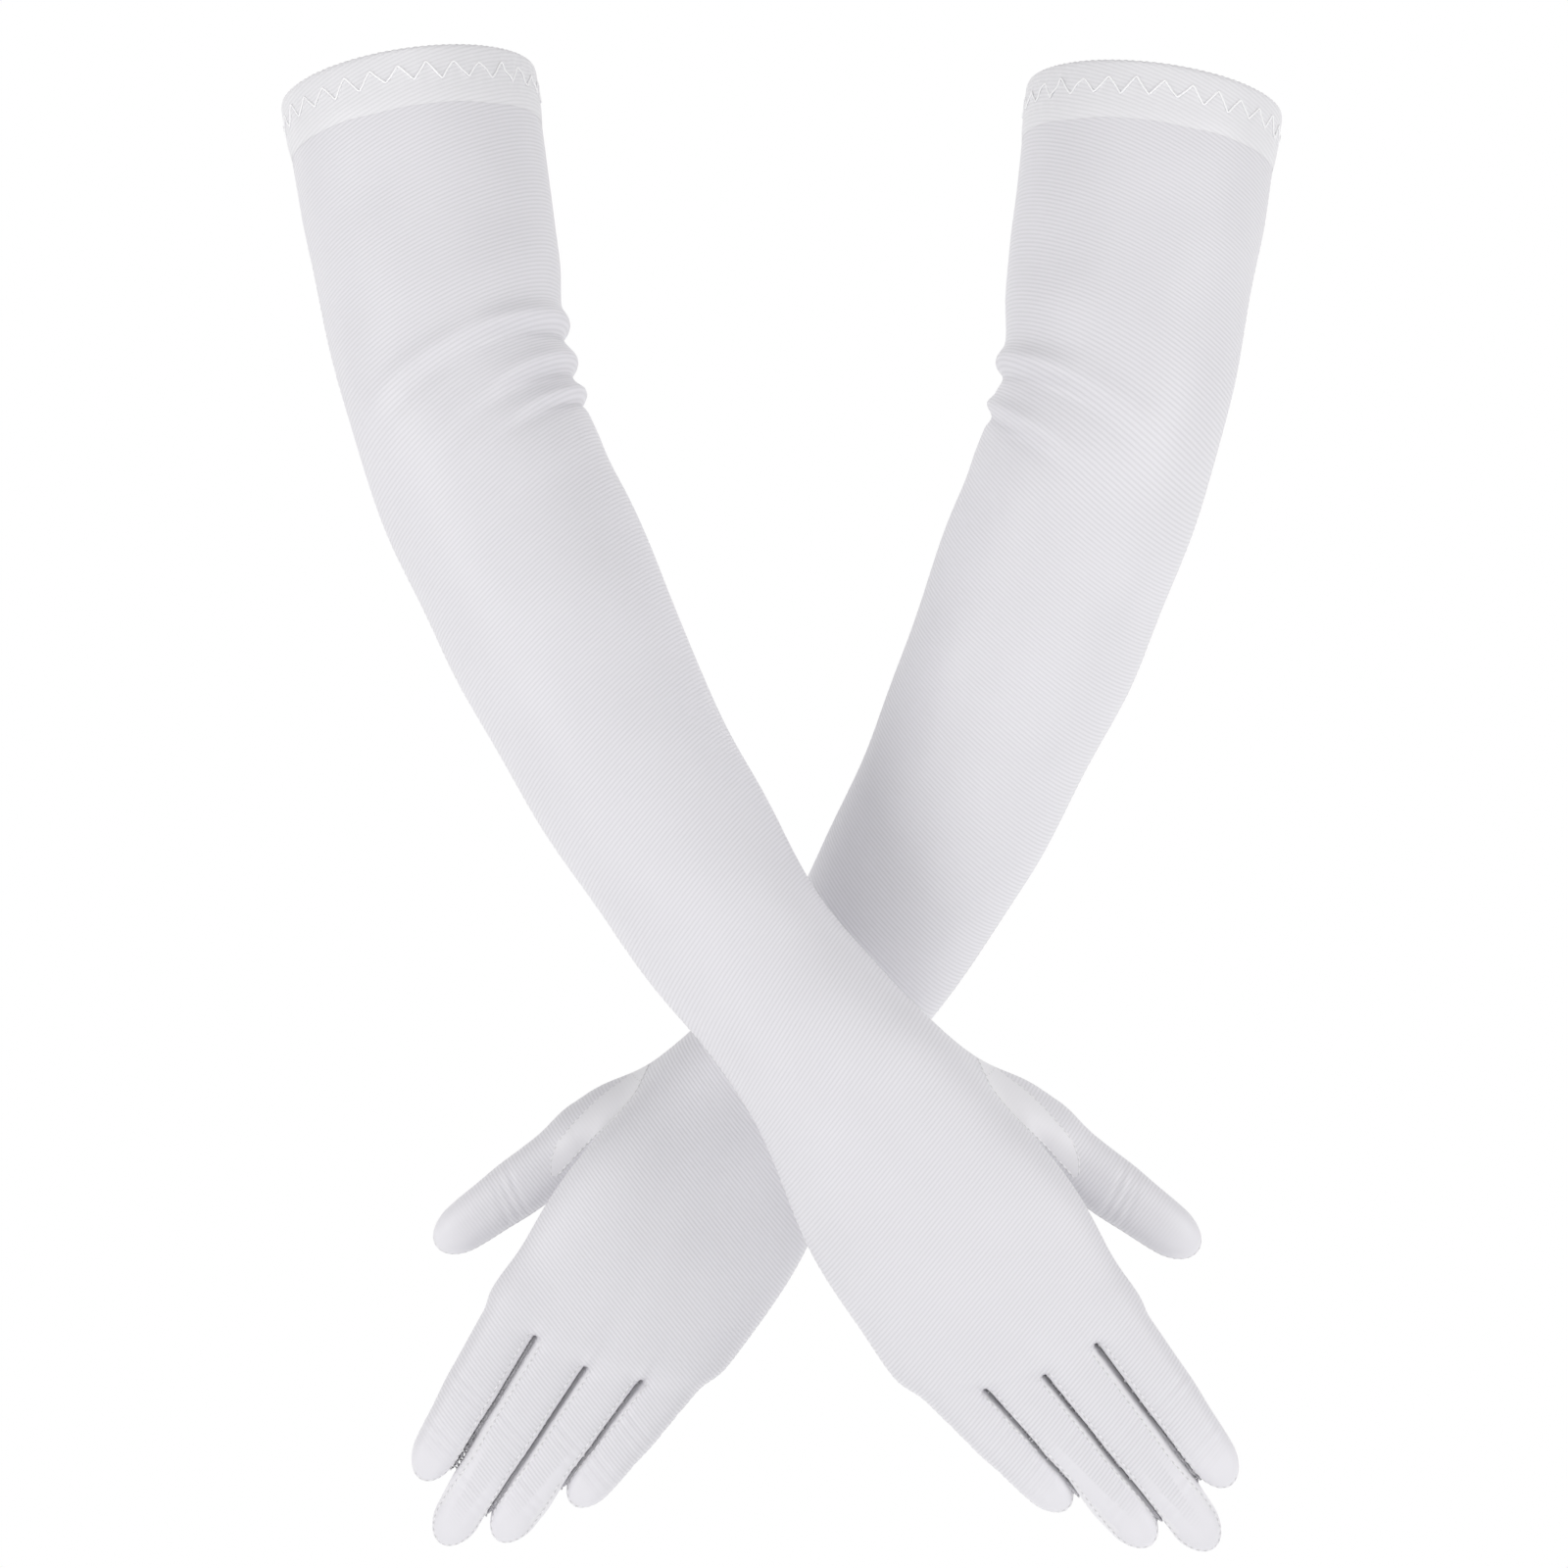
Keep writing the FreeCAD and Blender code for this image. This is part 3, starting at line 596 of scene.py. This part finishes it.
            plans.append({"name": f"{g}_{body}_cloth", "from": f"{g}_{source}", "to": f"{g}_{body}",
                          "nodes": [f"{g}_{body}"], "start": thumb.root + low * thumb.down,
                          "end": thumb.root + high * thumb.down})
        return plans

    def thenar(self, points):
        """The ball of the thumb: a tapering round bar inside the palm's thumb side."""
        start = self.hand_point(*THENAR_START)
        finish = self.thumb.root + 3 * self.thumb.down
        stretch = finish - start
        share = np.clip(((points - start) @ stretch) / (stretch @ stretch), 0, 1)
        nearest = start + share[:, None] * stretch
        return np.linalg.norm(points - nearest, axis=1) - (THENAR_RADIUS - THENAR_TAPER * share)


def gradient(field, points, reach=0.15):
    slopes = []
    for axis in range(3):
        shift = np.zeros(3)
        shift[axis] = reach
        slopes.append((field(points + shift) - field(points - shift)) / (2 * reach))
    return np.stack(slopes, 1)


def settle(field, points, rounds=2):
    """Moves points along the field's slope until they lie on its surface."""
    for _ in range(rounds):
        value = field(points)
        slope = gradient(field, points)
        size = np.maximum((slope ** 2).sum(1), 0.05)
        points = points - np.clip(value / size, -1.5, 1.5)[:, None] * slope
    return points


def isosurface(field, low, high, cell):
    """Quads on the surface where a field is zero, found only in blocks near the surface."""
    group = 8
    block = cell * group
    counts = np.ceil((high - low) / block).astype(int)
    grid = np.stack(np.meshgrid(*[np.arange(n) for n in counts], indexing="ij"), -1)
    grid = grid.reshape(-1, 3)
    value = field(low + (grid + 0.5) * block)
    grid = grid[np.abs(value) < block * 1.45]
    inner = np.stack(np.meshgrid(*[np.arange(group)] * 3, indexing="ij"), -1).reshape(-1, 3)
    cells = (grid[:, None] * group + inner[None]).reshape(-1, 3)
    row = counts[0] * group + 3
    strides = np.array([1, row, row * (counts[1] * group + 3)])
    cell_keys = cells @ strides
    corners = np.stack(np.meshgrid([0, 1], [0, 1], [0, 1], indexing="ij"), -1).reshape(-1, 3)
    corner_keys = cell_keys[:, None] + corners @ strides
    keys, first, inverse = np.unique(corner_keys.ravel(), return_index=True, return_inverse=True)
    places = (cells[:, None] + corners[None]).reshape(-1, 3)[first]
    values = field(low + places * cell)[inverse].reshape(-1, 8)
    inside = values < 0
    active = inside.any(1) & ~inside.all(1)
    cells = cells[active]
    values = values[active]
    inside = inside[active]
    cell_keys = cell_keys[active]
    total = np.zeros((len(cells), 3))
    count = np.zeros(len(cells))
    for a in range(8):
        for b in range(a + 1, 8):
            if np.abs(corners[a] - corners[b]).sum() != 1:
                continue
            crossing = inside[:, a] != inside[:, b]
            share = values[:, a] / np.where(crossing, values[:, a] - values[:, b], 1)
            spot = corners[a] + share[:, None] * (corners[b] - corners[a])
            total += np.where(crossing[:, None], spot, 0)
            count += crossing
    points = low + (cells + total / count[:, None]) * cell
    order = np.argsort(cell_keys)
    sorted_keys = cell_keys[order]

    def find(wanted):
        spot = np.clip(np.searchsorted(sorted_keys, wanted), 0, len(sorted_keys) - 1)
        return np.where(sorted_keys[spot] == wanted, order[spot], -1)

    quads = []
    for axis in range(3):
        far = int(np.nonzero((corners == np.eye(3, dtype=int)[axis]).all(1))[0][0])
        crossing = np.nonzero(inside[:, 0] != inside[:, far])[0]
        b = strides[(axis + 1) % 3]
        c = strides[(axis + 2) % 3]
        base = cell_keys[crossing]
        quad = np.stack([crossing, find(base - b), find(base - b - c), find(base - c)], 1)
        flip = inside[crossing, 0]
        quad = np.where(flip[:, None], quad, quad[:, ::-1])
        quads.append(quad[(quad >= 0).all(1)])
    return points, np.concatenate(quads)


def outward(field, points):
    slope = gradient(field, points)
    return slope / np.maximum(np.linalg.norm(slope, axis=1), 1e-9)[:, None]


class Patch:
    """Quads with a normal, a rib distance and a material number: part of one visible piece."""

    def __init__(self, points, normals, quads, rib, material, fade=None):
        self.points = points
        self.normals = normals
        self.quads = quads
        self.rib = rib
        self.material = np.broadcast_to(material, len(quads))
        self.fade = np.zeros(len(points)) if fade is None else fade


def open_edges(quads, count):
    """Which quad sides have no neighbour, and the points where each side starts and ends."""
    starts = quads.ravel()
    ends = np.roll(quads, -1, axis=1).ravel()
    free = ~np.isin(ends * count + starts, starts * count + ends)
    return free, starts[free], ends[free]


def thicken(patch, thickness):
    """Adds the cloth's inner side and closes its cut edges."""
    used, quads = np.unique(patch.quads, return_inverse=True)
    quads = quads.reshape(patch.quads.shape)
    points = patch.points[used]
    normals = patch.normals[used]
    count = len(points)
    free, a, b = open_edges(quads, count)
    owner = np.repeat(np.arange(len(quads)), 4)[free]
    rim = np.stack([b, a, a + count, b + count], 1)
    inner = quads[:, ::-1] + count
    return Patch(
        np.concatenate([points, points - thickness * normals]),
        np.concatenate([normals, -normals]),
        np.concatenate([quads, inner, rim]),
        np.concatenate([patch.rib[used]] * 2),
        np.concatenate([patch.material, patch.material, patch.material[owner]]),
        np.concatenate([patch.fade[used]] * 2))


def cord(points, normals, half_width, height, stitch, material, closed=False):
    """A sewn seam or thread: a flattened strand on the cloth, pinched in at each stitch."""
    sides = 6
    count = len(points)
    if closed:
        along = np.roll(points, -1, axis=0) - np.roll(points, 1, axis=0)
    else:
        along = np.gradient(points, axis=0)
    along /= np.maximum(np.linalg.norm(along, axis=1), 1e-9)[:, None]
    across = np.cross(normals, along)
    across /= np.maximum(np.linalg.norm(across, axis=1), 1e-9)[:, None]
    lengths = path_lengths(points)
    size = np.ones(count)
    if stitch:
        size -= STITCH_PINCH * np.exp(-(((lengths / stitch) % 1 - 0.5) / PINCH_WIDTH) ** 2)
    if not closed:
        size *= np.sqrt(np.clip(np.minimum(lengths, lengths[-1] - lengths) / SEAM_END, 0.02, 1))
    angle = full_turn(sides)
    swing = (np.cos(angle)[None, :, None] * across[:, None]
             + (height / half_width) * np.sin(angle)[None, :, None] * normals[:, None])
    rings = points[:, None] + half_width * size[:, None, None] * swing
    facing = (np.cos(angle)[None, :, None] * across[:, None]
              + (half_width / height) * np.sin(angle)[None, :, None] * normals[:, None])
    facing /= np.linalg.norm(facing, axis=2)[:, :, None]
    ring = np.arange(count if closed else count - 1)[:, None] * sides
    side = np.arange(sides)[None]
    after = (side + 1) % sides
    onward = (ring + sides) % (count * sides)
    quads = np.stack([ring + side, ring + after, onward + after, onward + side], -1).reshape(-1, 4)
    if not closed:
        last = (count - 1) * sides
        caps = np.array([[3, 2, 1, 0], [5, 4, 3, 0], [last, last + 1, last + 2, last + 3],
                         [last, last + 3, last + 4, last + 5]])
        quads = np.concatenate([quads, caps])
    return Patch(rings.reshape(-1, 3), facing.reshape(-1, 3), quads,
                 np.repeat(lengths, sides), material)


def add_piece(name, patches, materials):
    """One visible object from its patches, with smooth normals and the rib distance kept on it."""
    offset = 0
    quads = []
    for patch in patches:
        quads.append(patch.quads + offset)
        offset += len(patch.points)
    points = np.concatenate([patch.points for patch in patches]) * MM
    normals = np.concatenate([patch.normals for patch in patches])
    quads = np.concatenate(quads)
    mesh = bpy.data.meshes.new(name)
    mesh.vertices.add(len(points))
    mesh.vertices.foreach_set("co", points.astype(np.float32).ravel())
    mesh.loops.add(quads.size)
    mesh.loops.foreach_set("vertex_index", quads.astype(np.int32).ravel())
    mesh.polygons.add(len(quads))
    mesh.polygons.foreach_set("loop_start", np.arange(0, quads.size, 4, dtype=np.int32))
    for material in materials:
        mesh.materials.append(material)
    mesh.update(calc_edges=True)
    mesh.polygons.foreach_set("use_smooth", np.ones(len(quads), bool))
    mesh.polygons.foreach_set(
        "material_index", np.concatenate([patch.material for patch in patches]).astype(np.int32))
    for label, values in (("rib", [patch.rib for patch in patches]),
                          ("rib_fade", [patch.fade for patch in patches])):
        layer = mesh.attributes.new(label, "FLOAT", "POINT")
        layer.data.foreach_set("value", np.concatenate(values).astype(np.float32))
    mesh.normals_split_custom_set_from_vertices(normals.tolist())
    piece = bpy.data.objects.new(name, mesh)
    bpy.context.scene.collection.objects.link(piece)
    return piece


def resample(points, spacing):
    lengths = path_lengths(points)
    count = max(int(lengths[-1] / spacing), 4)
    wanted = np.linspace(0, lengths[-1], count)
    return np.stack([np.interp(wanted, lengths, points[:, i]) for i in range(3)], 1)


def curve(points, spacing=SEAM_SPACING):
    """A smooth path through a few points."""
    points = np.array(points, float)
    share = np.linspace(0, 1, len(points))
    fine = np.linspace(0, 1, 400)
    rough = np.stack([np.interp(fine, share, points[:, i]) for i in range(3)], 1)
    return resample(smooth_path(rough, 61), spacing)


def sleeve_patch(glove):
    """The sleeve from inside the hem to the lower forearm, as rings of quads."""
    start = 1.6
    rings = int((glove.cut - start) / SLEEVE_CELL)
    segments = int(2 * math.pi * SLEEVE_RADIUS / SLEEVE_CELL)
    along, angle = np.meshgrid(np.linspace(start, glove.cut, rings), full_turn(segments),
                               indexing="ij")
    along = along.ravel()
    angle = angle.ravel()
    points = glove.sleeve_point(along, angle)
    ring = np.arange(rings - 1)[:, None] * segments
    side = np.arange(segments)[None]
    after = (side + 1) % segments
    quads = np.stack([ring + side, ring + segments + side, ring + segments + after,
                      ring + after], -1).reshape(-1, 4)
    if glove.side < 0:
        quads = quads[:, ::-1]
    offset = points - glove.tube.at(glove.tube.centre, along)
    x = (offset * glove.tube.at(glove.tube.across, along)).sum(1)
    normals = glove.sleeve_normal(along, angle)
    return thicken(Patch(points, normals, quads, along + RIB_SKEW * x, MAIN), CLOTH)


def hem_surface(glove, along, angle, offset):
    """A point of the hem, with its pulled-in stitches and small puckers near the thumb side."""
    drawn = bump(along - 8, 4.5) * (1 + np.sin(angle * HEM_STITCHES)) * 0.09
    turn = np.arctan2(np.sin(angle + PUCKER_PLACE), np.cos(angle + PUCKER_PLACE))
    pucker = 0.32 * np.exp(-(turn / PUCKER_SPREAD) ** 2) * np.sin(angle * HEM_PUCKERS + along * 0.5)
    wave = 0.16 * np.sin(angle * 7 + 1.1) + 0.1 * np.sin(angle * 13)
    scallop = 0.16 * np.sin(angle * HEM_SCALLOPS) * np.exp(-((along - 0.2) / 1.4) ** 2)
    pucker = pucker * step(0, 4, along) * step(HEM_HEIGHT, HEM_HEIGHT - 5, along)
    shaped = offset + np.where(offset > 0, pucker - drawn, 0)
    wave = wave * step(HEM_HEIGHT - 4, HEM_HEIGHT, along)
    return glove.sleeve_point(along + scallop + wave, angle, shaped)


def hem_patch(glove):
    """The turned hem: its section carried round the arm as rings of quads."""
    section = np.array(HEM_SECTION)
    count = len(section)
    segments = HEM_SEGMENTS
    index, angle = np.meshgrid(np.arange(count), full_turn(segments), indexing="ij")
    index = index.ravel()
    angle = angle.ravel()
    points = hem_surface(glove, section[index, 0], angle, section[index, 1])
    row = np.arange(count)[:, None]
    side = np.arange(segments)[None]
    after = (side + 1) % segments
    down = (row + 1) % count
    quads = np.stack([row * segments + side, row * segments + after, down * segments + after,
                      down * segments + side], -1).reshape(-1, 4)
    if glove.side < 0:
        quads = quads[:, ::-1]
    grid = points.reshape(count, segments, 3)
    across = np.roll(grid, -1, axis=0) - np.roll(grid, 1, axis=0)
    around = np.roll(grid, -1, axis=1) - np.roll(grid, 1, axis=1)
    normals = glove.side * np.cross(around, across).reshape(-1, 3)
    normals /= np.linalg.norm(normals, axis=1)[:, None]
    normals[:segments] = normals[segments:2 * segments]
    rib = section[index, 0] + RIB_SKEW * SLEEVE_RADIUS * np.cos(angle)
    return Patch(points, normals, quads, rib, MAIN)


def thread_patch(glove):
    """The zigzag stitch round the hem."""
    around = 2 * math.pi * THREAD_RADIUS
    zigs = round(around / ZIGZAG_PITCH)
    angle = np.arange(int(around / THREAD_SPACING)) * THREAD_SPACING / THREAD_RADIUS
    angle = angle * 2 * math.pi / (len(angle) * THREAD_SPACING / THREAD_RADIUS)
    phase = angle * zigs
    wave = np.arcsin(0.985 * np.sin(phase)) * 2 / math.pi
    uneven = 1 + 0.12 * np.sin(angle * 9 + 0.7) + 0.08 * np.sin(angle * 23)
    along = ZIGZAG_MIDDLE + ZIGZAG_HEIGHT / 2 * wave * uneven
    points = hem_surface(glove, along, angle, np.full_like(angle, THREAD_LIFT))
    normals = glove.sleeve_normal(along, angle)
    return cord(points, normals, 0.32, 0.26, 0, MAIN, closed=True)


def finger_seams(glove, digit, position):
    """Seam lines up both sides of a finger, on the back and the palm, met over its tip."""
    lines = []
    if position > 0:
        lines.append(1)
    if position < len(DIGITS) - 1:
        lines.append(-1)
    straight = digit.straight
    crotches = list(CROTCHES.values())
    paths = []
    for side in lines:
        crotch = crotches[position - 1] if side > 0 else crotches[position]
        start = float((glove.hand_point(*crotch) - digit.root) @ digit.down) - 1.5
        along = np.linspace(start, straight, 160)
        width, depth = digit.half_sizes(along)
        for face in (-1, 1):
            angle = FOURCHETTE_ANGLE * (1 - 0.35 * step(straight - 22, straight, along))
            radius = oval_radius(angle, width, depth, FINGER_POWER)
            x = side * radius * np.cos(angle)
            y = face * radius * np.sin(angle)
            path = digit.place(along, x, y)
            if face < 0:
                turn = np.linspace(0, math.radians(90 if len(lines) > 1 else 128), 50)[1:]
                over = digit.over_tip(turn, x[-1], y[-1] * (1 - 0.35 * np.sin(turn)))
                path = np.concatenate([path, over])
            paths.append(path)
    return paths


def seam_paths(glove):
    """Every sewn line on the hand, near enough to the cloth to settle onto it."""
    paths = []
    for position, digit in enumerate(glove.digits):
        paths += [(path, 0.40, 0.34) for path in finger_seams(glove, digit, position)]
    little = glove.digits[-1]
    wrist = glove.wrist_along
    along = np.linspace(glove.cut, wrist + 84, 12)
    radius, shift = glove.sleeve_radius(along, np.full_like(along, math.pi))
    side_seam = glove.tube.place(along, shift - radius, np.full_like(along, 0.0))
    reach = np.linspace(2, little.straight, 12)
    width, _ = little.half_sizes(reach)
    turn = np.linspace(0, math.radians(90), 8)[1:]
    tip = little.over_tip(turn, -width[-1], np.zeros_like(turn))
    little_side = np.concatenate([side_seam, little.place(reach, -width, np.zeros_like(reach)), tip])
    paths.append((curve(little_side), 0.4, 0.3))
    thumb = glove.thumb
    reach = np.linspace(-6, thumb.straight, 12)
    width, depth = thumb.half_sizes(reach)
    turn = np.linspace(0, math.radians(120), 10)[1:]
    over = thumb.over_tip(turn, -width[-1], -0.3 * depth[-1] * np.ones_like(turn))
    inner = thumb.place(reach, -width * 0.94, -0.3 * depth)
    paths.append((curve(np.concatenate([inner, over])), 0.38, 0.28))
    paths.append((glove.on_back(GUSSET_SEAM), 0.4, 0.3))
    paths.append((glove.on_back(GUSSET_EDGE), 0.3, 0.16))
    return paths


def seam_cords(glove):
    """Cords for the sewn lines, each cut where one piece of cloth ends and the next begins."""
    found = []
    for path, half_width, height in seam_paths(glove):
        points = settle(glove.hand_distance, resample(path, SEAM_SPACING), 5)
        points = resample(smooth_path(points, 5), SEAM_SPACING)
        points = settle(glove.hand_distance, points, 2)
        normals = outward(glove.hand_distance, points)
        labels = glove.label(points)
        breaks = np.concatenate([[0], np.nonzero(np.diff(labels))[0] + 1, [len(points)]])
        for low, high in zip(breaks, breaks[1:]):
            last = min(high + 1, len(points))
            if last - low > 3:
                facing = normals[low:last]
                sunk = points[low:last] - SEAM_SINK * facing
                strand = cord(sunk, facing, half_width, height, STITCH_LENGTH, SEAM)
                found.append((labels[low], strand))
    return found


def sleeve_seam(glove):
    """The long closing seam down the little finger's side of the sleeve."""
    along = np.arange(HEM_HEIGHT + 0.8, glove.cut + 0.4, SEAM_SPACING)
    angle = np.full_like(along, math.pi)
    points = glove.sleeve_point(along, angle, -SEAM_SINK)
    return cord(points, glove.sleeve_normal(along, angle), 0.4, 0.3, STITCH_LENGTH, SEAM)


def fabric(name, rib_depth, tint, roughness, sheen, pitch=RIB_PITCH, shade_in_grooves=RIB_GROOVE_SHADE):
    """White stretch satin: skewed cross ribs with painted shade in their grooves, faint random tone changes and a
    soft sheen.
    """
    material = bpy.data.materials.new(name)
    material.use_nodes = True
    nodes = material.node_tree.nodes
    link = material.node_tree.links.new
    shader = nodes["Principled BSDF"]

    def node(kind, **values):
        made = nodes.new(kind)
        for key, value in values.items():
            setattr(made, key, value)
        return made

    def maths(operation, first, second=None):
        made = node("ShaderNodeMath", operation=operation)
        for slot, value in enumerate((first, second)):
            if value is None:
                continue
            if isinstance(value, (int, float)):
                made.inputs[slot].default_value = value
            else:
                link(value, made.inputs[slot])
        return made.outputs[0]

    def put(target, **values):
        for key, value in values.items():
            target.inputs[key.replace("_", " ")].default_value = value

    rib = node("ShaderNodeAttribute", attribute_name="rib").outputs["Fac"]
    place = node("ShaderNodeTexCoord").outputs["Object"]
    cloud = node("ShaderNodeTexNoise")
    put(cloud, Scale=28, Detail=3)
    link(place, cloud.inputs["Vector"])
    wander = maths("MULTIPLY", cloud.outputs["Fac"], 0.5)
    turns = maths("MULTIPLY", maths("ADD", rib, wander), 2 * math.pi / pitch)
    ridge = maths("MULTIPLY_ADD", maths("SINE", turns), 0.5)
    ridge.node.inputs[2].default_value = 0.5
    ridge = maths("POWER", ridge, 0.6)
    fade = node("ShaderNodeAttribute", attribute_name="rib_fade").outputs["Fac"]
    depth = maths("MULTIPLY", maths("SUBTRACT", 1.0, fade), rib_depth)
    height = maths("MULTIPLY", ridge, depth)
    bumps = node("ShaderNodeBump")
    put(bumps, Strength=0.35, Distance=0.00015)
    link(height, bumps.inputs["Height"])
    link(bumps.outputs["Normal"], shader.inputs["Normal"])
    # Painted shade: the colour darkens in the grooves between ribs, less where the ribs fade out.
    painted_groove_shade = maths("MULTIPLY", maths("MULTIPLY", maths("SUBTRACT", 1.0, ridge), depth), shade_in_grooves)
    patchy = maths("MULTIPLY", maths("SUBTRACT", cloud.outputs["Fac"], 0.5), 0.07)
    shade = maths("SUBTRACT", maths("ADD", 1.0, patchy), painted_groove_shade)
    blend = node("ShaderNodeMix", data_type="RGBA", blend_type="MULTIPLY")
    put(blend, Factor=1.0)
    blend.inputs[6].default_value = (*tint, 1)
    merge = node("ShaderNodeCombineColor")
    for channel in ("Red", "Green", "Blue"):
        link(shade, merge.inputs[channel])
    link(merge.outputs["Color"], blend.inputs[7])
    link(blend.outputs[2], shader.inputs["Base Color"])
    rough = maths("ADD", maths("MULTIPLY", cloud.outputs["Fac"], 0.12), roughness - 0.06)
    link(rough, shader.inputs["Roughness"])
    put(shader, Specular_IOR_Level=0.35, Sheen_Weight=sheen, Sheen_Roughness=0.45)
    return material


satin = fabric("satin_rib", 1.0, (0.755, 0.747, 0.782), 0.46, 0.20)
smooth_satin = fabric("satin_smooth_side", 0.15, (0.78, 0.773, 0.80), 0.40, 0.26)
hem_satin = fabric("satin_turned_hem", 0.7, (0.79, 0.786, 0.81), 0.45, 0.20)
# Its grooves repeat once a stitch, so painted shade darkens the seam in a dash at each stitch.
seam_cloth = fabric("sewn_seam", 1.0, (0.82, 0.815, 0.835), 0.55, 0.20, STITCH_LENGTH, 0.30)
thread = fabric("spun_thread", 0.3, (0.95, 0.95, 0.96), 0.5, 0.3)


def build_sleeve(glove):
    """The sleeve, its turned hem and the hem's thread."""
    name = glove.name
    sleeve = add_piece(f"{name}_sleeve_cloth", [sleeve_patch(glove), sleeve_seam(glove)],
                       [satin, smooth_satin, seam_cloth])
    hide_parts(f"{name}_upper_sleeve", f"{name}_forearm_sleeve", f"{name}_upper_seam",
                f"{name}_forearm_seam", f"{name}_elbow_folds")
    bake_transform(sleeve)
    hem = add_piece(f"{name}_turned_hem", [hem_patch(glove)], [hem_satin])
    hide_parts(f"{name}_hem_band")
    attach(hem, f"{name}_upper")
    stitches = add_piece(f"{name}_zigzag_thread", [thread_patch(glove)], [thread])
    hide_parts(f"{name}_hem_thread")
    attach(stitches, f"{name}_upper")


def build_hand(glove):
    """The hand, fingers and thumb: one surface, cut into pieces."""
    low, high = glove.search_box()
    points, quads = isosurface(glove.hand_distance, low, high, HAND_CELL)
    points = settle(glove.hand_distance, points)
    along, x, y = glove.tube.locate(points)
    centre = points[quads].mean(1)
    kept = glove.tube.locate(centre)[0] > glove.cut
    quads = quads[kept]
    rim = np.unique(np.concatenate(open_edges(quads, len(points))[1:]))
    rim = rim[np.abs(along[rim] - glove.cut) < 3 * HAND_CELL]
    points[rim] = glove.sleeve_point(np.full(len(rim), glove.cut), np.arctan2(y[rim], x[rim]))
    normals = outward(glove.hand_distance, points)
    rib = glove.rib_distance(points)
    labels = glove.label(points[quads].mean(1))
    centre = points[quads].mean(1)
    smooth = glove.on_fourchette(centre, labels) | glove.on_gusset(centre, normals[quads].mean(1))
    materials = np.where(smooth, INSERT, MAIN)
    fade = glove.rib_fade(points)
    cords = seam_cords(glove)
    for number, plan in enumerate(glove.plans()):
        mine = labels == number
        patches = [thicken(Patch(points, normals, quads[mine], rib, materials[mine], fade), CLOTH)]
        patches += [patch for owner, patch in cords if owner == number]
        piece = add_piece(plan["name"], patches, [satin, smooth_satin, seam_cloth])
        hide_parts(*plan["nodes"])
        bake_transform(piece)


for glove in (Glove("left", -1), Glove("right", 1)):
    build_sleeve(glove)
    build_hand(glove)


def stage():
    """A pale floor curving up into a backdrop, soft lights, and a camera level with the gloves."""
    low, high = (np.array(corner) for corner in cad_box)
    middle = (low + high) / 2
    floor_level = low[2] - FLOOR_GAP
    profile = [(-STAGE_DEPTH, 0.0)]
    profile += [(STAGE_DEPTH * FLAT_SHARE * share, 0.0) for share in np.linspace(0, 1, 4)]
    bend = STAGE_DEPTH * BEND_SHARE
    profile += [(STAGE_DEPTH * FLAT_SHARE + bend * math.sin(turn), bend * (1 - math.cos(turn)))
                for turn in np.linspace(0.1, math.pi / 2, 14)]
    profile.append((STAGE_DEPTH, bend + STAGE_DEPTH))
    vertices = []
    for x in (-STAGE_DEPTH * 1.6, STAGE_DEPTH * 1.6):
        vertices += [(middle[0] + x, middle[1] + y, floor_level + z) for y, z in profile]
    count = len(profile)
    faces = [(i, i + count, i + count + 1, i + 1) for i in range(count - 1)]
    mesh = bpy.data.meshes.new("floor")
    mesh.from_pydata(vertices, [], faces)
    mesh.polygons.foreach_set("use_smooth", [True] * len(faces))
    floor = bpy.data.objects.new("floor", mesh)
    bpy.context.scene.collection.objects.link(floor)
    paper = bpy.data.materials.new("pale_paper")
    paper.use_nodes = True
    nodes = paper.node_tree.nodes
    nodes.remove(nodes["Principled BSDF"])
    glow = nodes.new("ShaderNodeEmission")
    glow.inputs["Strength"].default_value = PAPER_GLOW
    paper.node_tree.links.new(glow.outputs[0], nodes["Material Output"].inputs["Surface"])
    floor.data.materials.append(paper)

    world = bpy.data.worlds.new("soft_room")
    bpy.context.scene.world = world
    world.use_nodes = True
    sky = world.node_tree.nodes["Background"]
    sky.inputs["Color"].default_value = (1, 1, 1, 1)
    rays = world.node_tree.nodes.new("ShaderNodeLightPath")
    seen = world.node_tree.nodes.new("ShaderNodeMapRange")
    seen.inputs["To Min"].default_value = ROOM_LIGHT
    seen.inputs["To Max"].default_value = PAPER_GLOW
    world.node_tree.links.new(rays.outputs["Is Camera Ray"], seen.inputs["Value"])
    world.node_tree.links.new(seen.outputs[0], sky.inputs["Strength"])

    for name, offset, size, power in SOFT_LIGHTS:
        lamp = bpy.data.lights.new(name, "AREA")
        lamp.shape = "RECTANGLE"
        lamp.size = size
        lamp.size_y = size
        lamp.energy = power
        lamp.color = (1.0, 0.99, 0.985)
        light = bpy.data.objects.new(name, lamp)
        place = Vector(middle) + Vector(offset)
        light.location = place
        light.rotation_euler = (Vector(middle) - place).to_track_quat("-Z", "Y").to_euler()
        bpy.context.scene.collection.objects.link(light)

    height = (high[2] - low[2]) * VIEW_MARGIN
    camera = bpy.data.cameras.new("camera")
    camera.sensor_fit = "HORIZONTAL"
    camera.angle = 2 * math.atan(height / 2 / CAMERA_DISTANCE)
    viewer = bpy.data.objects.new("camera", camera)
    viewer.location = (middle[0] + VIEW_SHIFT[0], middle[1] - VIEW_PLANE - CAMERA_DISTANCE,
                       middle[2] + VIEW_SHIFT[1])
    viewer.rotation_euler = (math.radians(90), 0, 0)
    bpy.context.scene.collection.objects.link(viewer)
    bpy.context.scene.camera = viewer
    bpy.context.scene.view_settings.view_transform = "Standard"


stage()
